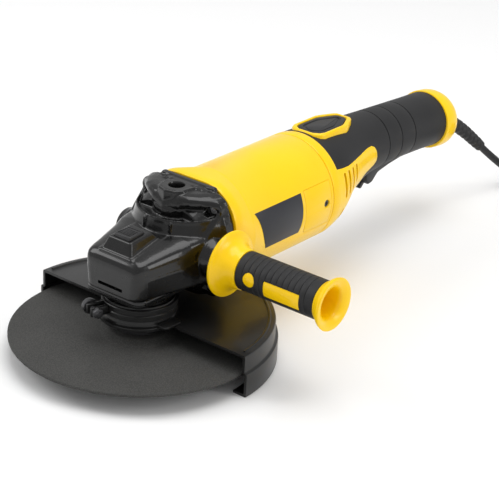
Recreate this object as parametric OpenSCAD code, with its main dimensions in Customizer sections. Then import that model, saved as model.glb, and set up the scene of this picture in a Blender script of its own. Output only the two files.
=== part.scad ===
// Large two-handed angle grinder with a 230 mm wheel.
// Origin: on the spindle axis, in the outer face of the clamp nut. +Z runs up the spindle into the gear
// head, +Y along the motor to the rear handle, +X towards the fitted side handle. Millimetres.

/* [Wheel and spindle] */
// Diameter of the grinding wheel
wheel_d = 230; // [226:1:230]
// Thickness of the wheel
wheel_t = 3; // [2.5:0.5:3]
// Diameter of the bore in the wheel
wheel_bore_d = 22.23; // [22.2:0.01:22.3]
// Outer diameter of the spindle thread
thread_d = 14; // [13.9:0.1:14]
// Diameter of the inner flange
flange_d = 42; // [38:1:42]
// Pitch circle of the two pin-spanner holes
spanner_pcd = 30; // [28:1:30]
// Diameter of one pin-spanner hole
spanner_hole_d = 5; // [4.5:0.5:5]

/* [Gearing] */
// Height of the motor axis above the wheel
axis_z = 76.7; // [76.5:0.1:77]
// Teeth on the armature pinion
pinion_teeth = 11; // [11:1:11]
// Teeth on the crown gear
crown_teeth = 41; // [41:1:41]
// Tooth module of the gear pair
gear_module = 1.2; // [1.2:0.01:1.22]

/* [Guard] */
// Outer radius of the guard's upper wall
guard_r = 120; // [119:0.5:120.5]
// Thickness of the guard's sheet
guard_t = 2.5; // [2:0.5:2.5]
// Height of the guard's top face
guard_top = 21.4; // [21:0.1:21.5]
// Depth of the guard's lower lip below the wheel
guard_drop = 17.5; // [16:0.5:18]

/* [Gear head] */
// Half width of the nose of the gear case
nose_half_w = 32.5; // [32:0.5:34]
// How far the nose reaches in front of the spindle
nose_reach = 38; // [37:0.5:39]
// Place of the side handle's axis along the machine
boss_y = 42; // [42:0.5:43]
// Height of the side handle's axis
boss_z = 75; // [74:0.5:76]
// Distance of the side bosses' faces from the middle
boss_x = 56; // [55:0.5:57]
// Height of the top handle boss
top_boss_z = 128; // [127:0.5:128]

/* [Motor housing] */
// Outer radius of the motor housing
motor_r = 52; // [52:0.2:52.4]
// Half width of the housing's front flange
front_flange_half = 53.3; // [53:0.1:53.4]
// Front end of the motor housing
motor_front_y = 64; // [64:1:64]
// Rear end of the motor housing
motor_rear_y = 210; // [210:1:210]
// Radius of the armature core
armature_r = 26; // [25:0.5:26.5]

/* [Rear handle] */
// Rear end of the tail cap
tail_y = 463.5; // [463:0.5:464]
// Thickness of the soft grip cover
cover_t = 2.6; // [2.4:0.1:2.6]

/* [Side handle] */
// Distance of the handle's flange from the middle
dish_x = 66; // [65:0.5:67]
// Radius of the handle's flange
dish_r = 30; // [29:0.5:31]
// Radius of the handle's rubber grip
side_grip_r = 17.3; // [17:0.1:17.5]
// Distance of the handle's outer end from the middle
side_end_x = 177.5; // [175:0.5:180]

/* [Cord] */
// Diameter of the mains cord
cord_d = 8; // [8:0.1:8]
// Radius of the coil at the middle of its turns
coil_r = 48; // [48:0.5:48]

/* [Hidden] */
floor_z = -guard_drop;
gap = 0.3;
seat = 0.02;
round_fn = 96;
hull_fn = 32;
corner_r_motor = 25;
case_flange_half = 47.7;
case_flange_y = 52;
flange_screw = 37;

thread_r = thread_d / 2;
neck_r = 29.5;
neck_bottom = 17;
cover_top = 51.8;
cover_bottom = 45;
lower_bearing_r = 20;
lower_bearing_z = 26;
lower_bearing_w = 12;
spindle_seat_r = 8.5;
gear_seat_r = 8.4;
upper_seat_r = 5;
upper_bearing_z = 78;
upper_bearing_w = 10;

crown_pitch_r = gear_module * crown_teeth / 2;
pinion_pitch_r = gear_module * pinion_teeth / 2;
mesh_z = axis_z - pinion_pitch_r;
crown_root_z = mesh_z - 1.4;
crown_tip_z = mesh_z + 0.9;
crown_out_r = crown_pitch_r + 3.6;
crown_in_r = crown_pitch_r - 2.8;
pinion_y0 = 21.2;
pinion_len = 9;

lock_y = -15;
lock_pin_r = 3;

front_bearing_y = 45;
front_bearing_r = 16;
rear_bearing_y = 198;
rear_bearing_r = 11;
core_y0 = 100;
core_y1 = 160;
brush_y = 184;

release_y0 = 226;
release_y1 = 290;
release_half_w = 19;
trigger_pivot = [0, 384, 66];
lever_pivot = [0, 336, 57];
joint_ring_r = 44.3;

// Stations of the rear handle: distance along the machine, height of the centre, radius.
handle_stations = [
    [222, 76.7, 51.5], [242, 79.5, 48.3], [262, 86, 41],
    [310, 90.5, 33], [435, 86, 30.5]
];

// Route of the cord from the strain relief to the coil.
relief_points = [[0, 464, 76.7], [1, 478, 74.5], [4, 492, 67], [9, 506, 56.5], [14, 518, 45.5], [18, 528, 36]];
relief_radii = [8.4, 8.2, 7.8, 7.3, 6.8, 6.4];
cord_points = [
    [18, 528, 36], [22, 538, 26.5], [26.5, 549, 16.5], [31, 561, 6.5], [35.5, 574, -3],
    [39, 587, -9.5], [40.6, 599, -12.6], [41, 612, -13.5]
];
coil_centre = [97, 612];
tail_points = [[97, 668, 10.5], [111, 668.6, 9.6], [125, 669, 6.8], [139, 669, 3.2], [152, 669, 1]];
plug_at = [152, 669, 1];
plug_r = 18.4;

// ---------- shared shapes ----------

module along_y(y0, h = axis_z) {
    translate([0, y0, h]) rotate([-90, 0, 0]) children();
}

module along_x(x0, y0, z0) {
    translate([x0, y0, z0]) rotate([0, 90, 0]) children();
}

module rod(r, len) {
    cylinder(r = r, h = len, $fn = round_fn);
}

module tube(r, inner, len) {
    difference() {
        rod(r, len);
        translate([0, 0, -1]) rod(inner, len + 2);
    }
}

module round_rect(half_x, half_y, r) {
    square([2 * half_x, 2 * (half_y - r)], center = true);
    square([2 * (half_x - r), 2 * half_y], center = true);
    for (sx = [-1, 1], sy = [-1, 1])
        translate([sx * (half_x - r), sy * (half_y - r)]) circle(r = r, $fn = round_fn);
}

module motor_flange_outline() {
    round_rect(front_flange_half, front_flange_half, corner_r_motor);
}

module at_flange_corners(y0) {
    for (sx = [-1, 1], sz = [-1, 1])
        translate([sx * flange_screw, y0, axis_z + sz * flange_screw]) rotate([-90, 0, 0]) children();
}

module block(x0, x1, y0, y1, z0, z1) {
    translate([x0, y0, z0]) cube([x1 - x0, y1 - y0, z1 - z0]);
}

module torus_ring(r, wire) {
    rotate_extrude($fn = 48) translate([r, 0]) circle(r = wire, $fn = 16);
}

module wire_spring(r, wire, turns, pitch) {
    for (i = [0 : turns - 1]) translate([0, 0, wire + i * pitch]) torus_ring(r, wire);
}

// ---------- swept tubes ----------

function unit(v) = v / norm(v);
function tangent(p, i) =
    i == 0 ? unit(p[1] - p[0]) :
    i == len(p) - 1 ? unit(p[i] - p[i - 1]) : unit(unit(p[i + 1] - p[i]) + unit(p[i] - p[i - 1]));
function carried(n, t) = unit(n - t * (n * t));
function side_normal(p, i) =
    i == 0 ? carried([0, 0, 1], tangent(p, 0)) : carried(side_normal(p, i - 1), tangent(p, i));
function ring_points(p, r, sides, i) =
    let (t = tangent(p, i), n = side_normal(p, i), b = cross(t, n))
    [for (k = [0 : sides - 1]) p[i] + r[i] * (cos(360 * k / sides) * n + sin(360 * k / sides) * b)];
function tube_faces(rings, sides) = concat(
    [[for (k = [0 : sides - 1]) k]],
    [for (i = [0 : rings - 2], k = [0 : sides - 1])
        let (n = (k + 1) % sides) [i * sides + k, (i + 1) * sides + k, (i + 1) * sides + n]],
    [for (i = [0 : rings - 2], k = [0 : sides - 1])
        let (n = (k + 1) % sides) [i * sides + k, (i + 1) * sides + n, i * sides + n]],
    [[for (k = [sides - 1 : -1 : 0]) (rings - 1) * sides + k]]
);

module swept_tube(p, r, sides) {
    polyhedron(
        points = [for (i = [0 : len(p) - 1]) each ring_points(p, r, sides, i)],
        faces = tube_faces(len(p), sides), convexity = 6
    );
}

// ---------- gear head ----------

module case_nose() {
    hull() {
        translate([0, (30 - nose_reach) / 2, cover_top])
            linear_extrude(19) round_rect(nose_half_w, (30 + nose_reach) / 2, 10, $fn = hull_fn);
        translate([0, -4, 79]) linear_extrude(1) round_rect(31.5, 30, 10, $fn = hull_fn);
        translate([0, 24, 104]) linear_extrude(2) round_rect(27, 14, 12, $fn = hull_fn);
    }
}

module case_rear() {
    hull() {
        along_y(case_flange_y) linear_extrude(3) round_rect(case_flange_half, case_flange_half, 16);
        along_y(36) linear_extrude(1) round_rect(44, 42, 26);
        along_y(8) linear_extrude(1) round_rect(33, 25, 20);
    }
    along_y(case_flange_y) linear_extrude(12) round_rect(case_flange_half, case_flange_half, 16);
}

module case_lock_boss() {
    hull() {
        translate([0, -14, 82]) linear_extrude(1) square([34.6, 33], center = true);
        translate([0, -13, 97.5]) linear_extrude(1) square([24.8, 25], center = true);
        translate([0, -4, 99.8]) linear_extrude(1) square([24.8, 8], center = true);
    }
}

module gear_case() {
    color("#1c1c1c") difference() {
        union() {
            difference() {
                union() {
                    case_nose();
                    case_rear();
                }
                block(-60, 60, -60, 51, 0, cover_top);
            }
            case_lock_boss();
            translate([0, 44.8, 100]) rod(14, top_boss_z - 100);
            for (s = [0, 1]) mirror([s, 0, 0]) along_x(30, boss_y, boss_z) rod(15, boss_x - 30);
            at_flange_corners(case_flange_y) rod(9, 12);
        }
        // Gear chamber and its way up to the spindle's needle bearing.
        translate([0, 0, cover_top - 1]) rod(30, 74 - cover_top + 1);
        translate([0, 0, 70]) rod(8 + seat, upper_bearing_z + upper_bearing_w - 70);
        // Tunnel for the pinion, pocket for the front bearing, opening to the motor.
        along_y(8) rod(12, 38);
        along_y(front_bearing_y) rod(front_bearing_r + seat, 10);
        along_y(54) rod(13, 12);
        // Threaded handle holes: top, left and right.
        translate([0, 44.8, top_boss_z - 16]) rod(thread_r, 20);
        for (s = [0, 1]) mirror([s, 0, 0]) along_x(boss_x - 18, boss_y, boss_z) rod(thread_r, 20);
        // Pocket, spring chamber and guide for the spindle lock.
        translate([0, lock_y, 91.4]) linear_extrude(20) round_rect(9.3, 9.6, 2);
        translate([0, lock_y, 83]) rod(6.2, 10);
        translate([0, lock_y, 60]) rod(lock_pin_r + 0.06, 30);
        // Air outlet slot in the front wall.
        translate([-14, -nose_reach - 2, 57]) cube([28, 6, 3]);
        at_flange_corners(case_flange_y - 30) rod(2.6, 60);
        at_flange_corners(case_flange_y - 30) rod(5.4, 34);
        for (sx = [-1, 1], y = [-26, 30]) translate([sx * 24.5, y, 40]) rod(2.05, 24);
    }
}

module gear_case_screws() {
    color("silver") at_flange_corners(case_flange_y + 4) {
        translate([0, 0, -4]) tube(4.6, 2.2, 4);
        translate([0, 0, -4]) rod(2.15, 20);
    }
}

module bearing_cover() {
    color("#222222") difference() {
        union() {
            translate([0, (38 - nose_reach + 2) / 2, cover_bottom])
                linear_extrude(cover_top - cover_bottom) round_rect(nose_half_w, (38 + nose_reach - 2) / 2, 9);
            translate([0, 0, neck_bottom]) rod(neck_r, cover_bottom - neck_bottom + 1);
        }
        translate([0, 0, neck_bottom - 1]) rod(13.2, 20);
        translate([0, 0, lower_bearing_z]) rod(lower_bearing_r + seat, lower_bearing_w);
        translate([0, 0, lower_bearing_z + lower_bearing_w - 1]) rod(17.5, 20);
        for (sx = [-1, 1], y = [-26, 30]) translate([sx * 24.5, y, 40]) rod(2.2, 24);
        for (sx = [-1, 1], y = [-26, 30]) translate([sx * 24.5, y, 40]) rod(4.3, 7);
    }
}

module bearing_cover_screws() {
    color("silver") for (sx = [-1, 1], y = [-26, 30]) translate([sx * 24.5, y, 0]) {
        translate([0, 0, 43.5]) rod(4, 3.5);
        translate([0, 0, 47]) rod(2, 14);
    }
}

module ball_bearing(outer, inner, w) {
    groove = (outer + inner) / 2;
    difference() {
        tube(outer, inner, w);
        translate([0, 0, -1]) tube(groove + 1.2, groove - 1.2, 1.8);
        translate([0, 0, w - 0.8]) tube(groove + 1.2, groove - 1.2, 1.8);
    }
}

module spindle_lower_bearing() {
    color("silver") translate([0, 0, lower_bearing_z])
        ball_bearing(lower_bearing_r, spindle_seat_r + seat, lower_bearing_w);
}

module spindle_upper_bearing() {
    color("silver") translate([0, 0, upper_bearing_z]) tube(8, upper_seat_r + seat, upper_bearing_w);
}

// ---------- spindle, wheel and nut ----------

module spindle() {
    color("#8a8d90") union() {
        translate([0, 0, 0.5]) rod(thread_r - 0.05, 16);
        translate([0, 0, 15]) rod(12.5, lower_bearing_z - 15);
        translate([0, 0, lower_bearing_z]) rod(spindle_seat_r, lower_bearing_w);
        translate([0, 0, lower_bearing_z + lower_bearing_w]) rod(10.5, 6);
        translate([0, 0, 44]) rod(gear_seat_r, 28);
        translate([0, 0, 72]) rod(upper_seat_r, 15);
    }
}

module crown_tooth() {
    half_in = 0.45;
    half_out = 0.62;
    linear_extrude(crown_tip_z - crown_root_z + 0.5)
        polygon([
            [crown_in_r, -half_in], [crown_out_r - 0.2, -half_out],
            [crown_out_r - 0.2, half_out], [crown_in_r, half_in]
        ]);
}

module crown_gear() {
    pitch = 360 / crown_teeth;
    color("#6f7276") difference() {
        union() {
            translate([0, 0, 50]) rod(13, 12);
            translate([0, 0, 60]) rod(crown_out_r, crown_root_z - 60);
            for (i = [0 : crown_teeth - 1])
                rotate([0, 0, 90 + pitch / 2 + i * pitch]) translate([0, 0, crown_root_z - 0.5]) crown_tooth();
        }
        translate([0, 0, 40]) rod(gear_seat_r + seat, 40);
        // Holes that the lock pin drops into.
        for (a = [0 : 90 : 270]) rotate([0, 0, a]) translate([0, lock_y, 63]) rod(lock_pin_r + 0.6, 10);
    }
}

module inner_flange() {
    color("#3a3a3a") difference() {
        union() {
            translate([0, 0, 8]) rod(flange_d / 2, 3);
            translate([0, 0, 11]) rod(17, 4);
            translate([0, 0, 5.6]) rod(wheel_bore_d / 2 - 0.1, 3);
        }
        translate([0, 0, 0]) rod(thread_r, 20);
        translate([0, 0, 4.8]) tube(10.4, 8.4, 2.4);
    }
}

module grinding_wheel() {
    hub_z = 5;
    color("#3d3d3b") rotate_extrude($fn = 180) polygon([
        [wheel_bore_d / 2, hub_z], [26, hub_z], [33, 0], [wheel_d / 2 - 0.4, 0], [wheel_d / 2, 0.4],
        [wheel_d / 2, wheel_t - 0.4], [wheel_d / 2 - 0.4, wheel_t], [35, wheel_t],
        [27.5, hub_z + wheel_t], [wheel_bore_d / 2, hub_z + wheel_t]
    ]);
}

module clamp_nut() {
    color("#4a4c4e") difference() {
        union() {
            rod(20, 4);
            translate([0, 0, 4]) rod(18.5, 1);
        }
        translate([0, 0, -1]) rod(thread_r, 8);
        for (sx = [-1, 1]) translate([sx * spanner_pcd / 2, 0, -1]) rod(spanner_hole_d / 2, 5);
    }
}

// ---------- guard ----------

module wheel_guard() {
    lip_r = guard_r + 2.7;
    collar_r = neck_r + gap;
    color("#262626") union() {
        rotate_extrude(angle = 180, $fn = 180) polygon([
            [34, guard_top - guard_t], [guard_r - guard_t, guard_top - guard_t], [guard_r - guard_t, 4.6],
            [lip_r - guard_t, 3], [lip_r - guard_t, floor_z + guard_t], [lip_r - 14, floor_z + guard_t],
            [lip_r - 14, floor_z], [lip_r - 0.6, floor_z], [lip_r, floor_z + 0.6], [lip_r, 4],
            [guard_r, 5.8], [guard_r, guard_top - 1], [guard_r - 1, guard_top], [34, guard_top]
        ]);
        translate([0, 0, guard_top - guard_t]) tube(36, collar_r, guard_t);
        translate([0, 0, guard_top - 0.5]) tube(collar_r + 1.6, collar_r, 18.5);
    }
}

module guard_clamp_band() {
    band_r = neck_r + gap + 1.6 + seat;
    color("#303030") difference() {
        union() {
            translate([0, 0, 27]) tube(band_r + 2.4, band_r, 11);
            for (s = [-1, 1]) rotate([0, 0, -110])
                translate([band_r + 0.4, s * 4.2 - 1.6, 28]) cube([18, 3.2, 9]);
        }
        rotate([0, 0, -110]) translate([20, -2.6, 20]) cube([16, 5.2, 30]);
        rotate([0, 0, -110]) translate([44.5, -10, 32.5]) rotate([-90, 0, 0]) rod(2.6, 20);
    }
}

module guard_clamp_bolt() {
    color("#5a5c5e") rotate([0, 0, -110]) translate([44.5, 0, 32.5]) rotate([-90, 0, 0]) {
        translate([0, 0, -9.8]) rod(5.4, 4);
        translate([0, 0, -5.8]) rod(2.5, 16);
        translate([0, 0, 5.84]) difference() {
            cylinder(r = 5, h = 4, $fn = 6);
            translate([0, 0, -1]) rod(2.52, 6);
        }
    }
}

// ---------- spindle lock ----------

module spindle_lock_button() {
    color("#161616") translate([0, lock_y, 95.6]) linear_extrude(5) round_rect(9, 9.3, 1.7);
}

module spindle_lock_pin() {
    color("silver") translate([0, lock_y, 0]) {
        translate([0, 0, 70.6]) rod(lock_pin_r, 22);
        translate([0, 0, 92.6]) rod(5.4, 3);
    }
}

module spindle_lock_spring() {
    color("#9a9a9a") translate([0, lock_y, 83.02]) wire_spring(4.6, 0.5, 7, 1.42);
}

// ---------- motor ----------

module motor_housing() {
    color("#ffde00") difference() {
        union() {
            along_y(motor_front_y) linear_extrude(10) motor_flange_outline();
            along_y(74) rod(motor_r + 1.3, 19);
            along_y(92) rod(motor_r, motor_rear_y - 92);
            at_flange_corners(74) rod(9, 14);
        }
        along_y(motor_front_y - 1) rod(46, 27);
        along_y(89) rod(45.6, 77);
        along_y(165) rod(47, 32);
        along_y(rear_bearing_y) rod(rear_bearing_r + seat, 8);
        along_y(190) rod(9, 30);
        // Air holes in the rear wall.
        for (a = [0 : 60 : 300]) along_y(190) rotate([0, 0, a]) translate([28, 0, 0]) rod(8, 30);
        for (s = [0, 1]) mirror([s, 0, 0]) {
            // Window for the brush cover and pocket for the side plate.
            block(38, 60, 167, 206, axis_z - 20, axis_z + 23);
            shell_panel(motor_r + 4, motor_r - 1.2, 97, 163, 61, 99);
        }
        at_flange_corners(60) rod(2.2, 26);
        for (a = [45 : 90 : 315]) along_y(196) rotate([0, 0, a]) translate([36, 0, 0]) rod(1.8, 30);
    }
    // Seats that hold the brush holders, on the rear wall.
    color("#ffde00") for (s = [0, 1]) mirror([s, 0, 0])
        block(21, 37.5, brush_y + 4.62, 197.5, axis_z - 4, axis_z + 4);
}

module shell_panel(r_out, r_in, y0, y1, z0, z1) {
    intersection() {
        along_y(y0) tube(r_out, r_in, y1 - y0);
        block(30, 60, y0, y1, z0, z1);
    }
}

module side_plates() {
    color("#1e1e22") for (s = [0, 1]) mirror([s, 0, 0])
        shell_panel(motor_r + 0.2, motor_r - 1.1, 97.3, 162.7, 61.3, 98.7);
}

module brush_covers() {
    color("#ffdc00") for (s = [0, 1]) mirror([s, 0, 0]) difference() {
        shell_panel(motor_r + 0.1, 48.4, 167.3, 205.7, axis_z - 19.7, axis_z + 22.7);
        along_x(30, 199, axis_z + 2) rod(1.9, 30);
        along_x(50, 199, axis_z + 2) rod(3.6, 30);
    }
}

module brush_cover_screws() {
    color("silver") for (s = [0, 1]) mirror([s, 0, 0]) along_x(0, 199, axis_z + 2) {
        translate([0, 0, 44]) rod(1.8, 6);
        translate([0, 0, 50]) rod(3.4, 0.8);
    }
}

module brush_holders() {
    color("#b08d3c") for (s = [0, 1]) mirror([s, 0, 0]) difference() {
        block(17.5, 46, brush_y - 4.6, brush_y + 4.6, axis_z - 6.6, axis_z + 6.6);
        block(10, 44.6, brush_y - 3.6, brush_y + 3.6, axis_z - 5.6, axis_z + 5.6);
    }
}

module carbon_brushes() {
    color("#2d2f33") for (s = [0, 1]) mirror([s, 0, 0])
        block(15.6, 33, brush_y - 3.5, brush_y + 3.5, axis_z - 5.5, axis_z + 5.5);
}

module brush_springs() {
    color("#9a9a9a") for (s = [0, 1]) mirror([s, 0, 0])
        along_x(33.02, brush_y, axis_z) wire_spring(2.8, 0.4, 6, 2.1);
}

module stator_core() {
    color("#80858a") along_y(core_y0) difference() {
        rod(45.5, core_y1 - core_y0);
        translate([0, 0, -1]) rod(armature_r + 1, 80);
        for (s = [-1, 1]) translate([s * 34, 0, 29]) cube([12, 26, 80], center = true);
    }
}

module stator_coils() {
    color("#a4552a") for (y0 = [93.5, core_y1 + 0.1]) difference() {
        along_y(y0) tube(42, 28.5, 6.3);
        block(-7, 7, 80, 180, 0, 200);
    }
}

module air_baffle() {
    color("#2c2c2c") along_y(90) tube(45.3, 35, 3.2);
}

module armature_shaft() {
    color("#9fa3a7") {
        along_y(20.6) rod(4.2, 10);
        along_y(30.5) rod(5.5, 14.5);
        along_y(45) rod(6, 10);
        along_y(55) rod(7.5, 5);
        along_y(60) rod(6, 137);
        along_y(197) rod(4, 10);
    }
}

module pinion_tooth() {
    root_r = pinion_pitch_r - 1.3;
    tip_r = pinion_pitch_r + 1;
    polygon([[root_r - 0.5, -1], [root_r, -0.95], [tip_r, -0.38], [tip_r, 0.38], [root_r, 0.95], [root_r - 0.5, 1]]);
}

module pinion() {
    color("#6f7276") along_y(pinion_y0) difference() {
        union() {
            rod(pinion_pitch_r - 1.3, pinion_len);
            linear_extrude(pinion_len) for (i = [0 : pinion_teeth - 1])
                rotate(90 + i * 360 / pinion_teeth) pinion_tooth();
        }
        translate([0, 0, -1]) rod(4.2 + seat, 20);
    }
}

module armature_core() {
    color("#5f666d") along_y(core_y0) difference() {
        rod(armature_r, core_y1 - core_y0);
        translate([0, 0, -1]) rod(6 + seat, 80);
        for (a = [0 : 30 : 330]) rotate([0, 0, a]) translate([23, -1.5, -1]) cube([5, 3, 80]);
    }
}

module armature_windings() {
    color("#b0602e") {
        along_y(core_y0 - 7.1) tube(23, 6.1, 7);
        along_y(core_y1 + 0.1) tube(23, 6.1, 9);
    }
}

module commutator() {
    color("#b87333") along_y(172) difference() {
        union() {
            rod(15, 24);
            rod(17.2, 3);
        }
        translate([0, 0, -1]) rod(6 + seat, 30);
        for (a = [0 : 15 : 345]) rotate([0, 0, a]) translate([14, -0.3, 3.6]) cube([3, 0.6, 30]);
    }
}

module cooling_fan() {
    color("#303236") along_y(70) difference() {
        union() {
            rod(12, 14);
            translate([0, 0, 11]) rod(42, 2);
            for (a = [0 : 30 : 330]) rotate([0, 0, a]) translate([10, -0.8, 0]) cube([31, 1.6, 12]);
        }
        translate([0, 0, -1]) rod(6 + seat, 20);
    }
}

module armature_front_bearing() {
    color("silver") along_y(front_bearing_y) ball_bearing(front_bearing_r, 6 + seat, 10);
}

module armature_rear_bearing() {
    color("silver") along_y(rear_bearing_y) ball_bearing(rear_bearing_r, 4 + seat, 8);
}

// ---------- swivel joint ----------

module swivel_ring() {
    color("#3a3c3e") difference() {
        union() {
            along_y(motor_rear_y + 0.05) rod(40, 6);
            along_y(motor_rear_y + 5) rod(joint_ring_r, 4.5);
        }
        along_y(200) rod(30, 30);
        for (a = [0, 90, 180]) along_y(212) rotate([0, 0, -a]) translate([33, 0, 5]) cube([10, 8.6, 12], center = true);
        for (a = [45 : 90 : 315]) along_y(200) rotate([0, 0, a]) translate([36, 0, 0]) {
            rod(2.2, 30);
            translate([0, 0, 17.2]) rod(3.8, 10);
        }
    }
}

module swivel_ring_screws() {
    color("silver") for (a = [45 : 90 : 315]) along_y(200) rotate([0, 0, a]) translate([36, 0, 0]) {
        rod(1.75, 18);
        translate([0, 0, 17.3]) rod(3.6, 2);
    }
}

// ---------- rear handle ----------

module handle_disc(i, inset, shift = 0) {
    s = handle_stations[i];
    along_y(s[0] + shift, s[1]) cylinder(r = s[2] - inset, h = 0.02, $fn = 2 * hull_fn);
}

// The rear handle's outer form, made smaller by inset and longer at both ends by over.
module handle_body(inset, over = 0) {
    hull() {
        handle_disc(0, inset, -over);
        handle_disc(0, inset);
        handle_disc(1, inset);
        handle_disc(2, inset);
    }
    hull() {
        handle_disc(2, inset);
        handle_disc(3, inset);
    }
    hull() {
        handle_disc(3, inset);
        handle_disc(4, inset);
        handle_disc(4, inset, over);
    }
}

// Side outline of what the soft cover wraps: the top of the body and all of the grip.
module cover_region() {
    translate([-60, 0, 0]) rotate([90, 0, 90]) linear_extrude(120) polygon([
        [221.5, 102], [240, 97], [262, 93.5], [280, 96], [296, 100.5], [307, 99], [310, 92], [308, 84],
        [306, 40], [436, 40], [436, 140], [221.5, 140]
    ]);
}

module handle_openings() {
    // Slot for the trigger.
    block(-10.4, 10.4, 320, 392, 40, 78);
    // Seat for the release button's frame.
    translate([0, 0, 116.6]) linear_extrude(30) release_outline(release_half_w + 0.2);
    block(-5, 5, 218, 240, 105, 117);
    translate([0, 258, 90]) rod(8, 40);
}

module handle_hollow() {
    along_y(213.9) rod(joint_ring_r + 0.7, 8.1);
    along_y(209) rod(40.6, 8);
    along_y(221, 79) rod(44, 12);
    along_y(232, 82) rod(38, 18);
    along_y(249, 88) rod(32, 20);
    along_y(268, 90) rod(27, 138);
    along_y(400, 84) rod(23, 33);
    along_y(430) rod(cord_d / 2 + 0.4, 10);
}

// Air slots in the side of the shell: an upper row and a lower row.
module handle_vents(s) {
    x0 = s > 0 ? 30 : -60;
    for (i = [0 : 3]) block(x0, x0 + 30, 227.4 + 7.6 * i, 230.6 + 7.6 * i, 76 - 1.5 * i, 97 - 1.5 * i);
    for (i = [0 : 1]) block(x0, x0 + 30, 227.4 + 7.6 * i, 230.2 + 7.6 * i, 52, 66 - i);
}

// Ribs that carry the release spring, the trigger's pin, the switch, the capacitor and the cord clamp.
module handle_supports(s) {
    flip = s > 0 ? 0 : 1;
    mirror([flip, 0, 0]) {
        difference() {
            block(0, 27, 250, 266, 104, 110.9);
            translate([0, 258, 100]) rod(3.9, 20);
        }
        difference() {
            block(10.4, 14.6, 378, 390, 62.7, 71.5);
            along_x(0, trigger_pivot[1], trigger_pivot[2]) rod(2.56, 12.5);
        }
        block(9.1, 25, 340, 344, 84, 98);
        block(8.1, 26, 295, 299, 86, 98);
        block(6, 14, 417, 425, 62, 65.9);
    }
}

module handle_shell(s) {
    difference() {
        union() {
            along_y(motor_rear_y + 0.3) rod(motor_r, 11.7);
            handle_body(cover_t);
            difference() {
                handle_body(0);
                cover_region();
            }
        }
        difference() {
            handle_hollow();
            for (p = [[286, 68], [398, 104]]) along_x(-60, p[0], p[1]) rod(5.2, 120);
        }
        handle_openings();
        for (p = [[286, 68], [398, 104]]) along_x(-60, p[0], p[1]) rod(1.8, 120);
        for (p = [[286, 68], [398, 104]]) along_x(16, p[0], p[1]) rod(3.9, 60);
        along_x(-12.5, trigger_pivot[1], trigger_pivot[2]) rod(2.56, 25);
        block(-14.6, 14.6, 378, 390, 62.7, 71.5);
        block(s > 0 ? -80 : 0, s > 0 ? 0 : 80, 200, 480, 0, 160);
        handle_vents(s);
    }
    handle_supports(s);
}

module handle_shell_left() {
    color("#ffde00") handle_shell(-1);
}

module handle_shell_right() {
    color("#ffde00") handle_shell(1);
}

module handle_screws() {
    color("silver") for (p = [[286, 68], [398, 104]]) along_x(0, p[0], p[1]) {
        translate([0, 0, -14]) rod(1.75, 30.1);
        translate([0, 0, 16.02]) rod(3.6, 2.4);
    }
}

module handle_cover() {
    color("#2a2a2c") difference() {
        intersection() {
            handle_body(0);
            cover_region();
        }
        handle_body(cover_t - seat, 2);
        block(-10.4, 10.4, 320, 392, 40, 78);
        translate([0, 0, 116.6]) linear_extrude(30) release_outline(release_half_w + 0.2);
    }
}

module tail_cap() {
    cap_y = 435.1;
    color("#ffde00") difference() {
        hull() {
            along_y(cap_y, 86) cylinder(r = 30.8, h = 0.5, $fn = 2 * hull_fn);
            along_y(tail_y - 3, 82.6) cylinder(r = 31.2, h = 0.5, $fn = 2 * hull_fn);
            along_y(tail_y - 0.5, 82.6) cylinder(r = 29, h = 0.5, $fn = 2 * hull_fn);
        }
        along_y(cap_y - 1, 83) rod(26, tail_y - cap_y - 5);
        along_y(440) rod(8.8, 40);
    }
}

module release_outline(half_w) {
    cut = 11;
    polygon([
        [-half_w + 7, release_y0], [half_w - 7, release_y0], [half_w, release_y0 + cut],
        [half_w, release_y1 - cut - 8], [half_w - 9, release_y1], [-half_w + 9, release_y1],
        [-half_w, release_y1 - cut - 8], [-half_w, release_y0 + cut]
    ]);
}

module button_outline(inset) {
    half_w = release_half_w - inset;
    polygon([
        [-half_w + 7, release_y0 + inset], [half_w - 7, release_y0 + inset], [half_w, release_y0 + 11],
        [half_w, release_y1 - 19], [half_w - 9, release_y1 - inset], [-half_w + 9, release_y1 - inset],
        [-half_w, release_y1 - 19], [-half_w, release_y0 + 11]
    ]);
}

module release_frame() {
    color("#ffde00") difference() {
        translate([0, 0, 116.8]) linear_extrude(12.2) release_outline(release_half_w);
        translate([0, 0, 110]) linear_extrude(30) button_outline(3.2);
    }
}

module release_button() {
    color("#242426") {
        translate([0, 0, 120.4]) linear_extrude(8.2) button_outline(3.6);
        translate([0, 258, 0]) {
            translate([0, 0, 119.2]) rod(6, 1.4);
            translate([0, 0, 110]) rod(3.4, 10);
        }
        block(-3.8, 3.8, 229.6, 236, 112.6, 121);
        block(-3.8, 3.8, 220, 236, 112.6, 115.6);
    }
}

module release_spring() {
    color("#9a9a9a") translate([0, 258, 111]) wire_spring(4.6, 0.4, 5, 1.75);
}

module trigger() {
    p = trigger_pivot;
    color("#1f1f21") difference() {
        union() {
            translate([-9, 0, 0]) rotate([90, 0, 90]) linear_extrude(18) polygon([
                [326, 72], [325, 52], [329, 46], [336, 47], [345, 55], [365, 58.5], [385, 60.5],
                [388, 64], [388, 69], [380, 71], [340, 72]
            ]);
        }
        along_x(-20, p[1], p[2]) rod(2.56, 40);
        block(-3.3, 3.3, 318, 350, 30, 66);
        along_x(-8, lever_pivot[1], lever_pivot[2]) rod(1.45, 16);
    }
    color("silver") along_x(-12.3, p[1], p[2]) rod(2.5, 24.6);
    color("silver") along_x(-8, lever_pivot[1], lever_pivot[2]) rod(1.45, 16);
}

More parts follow.
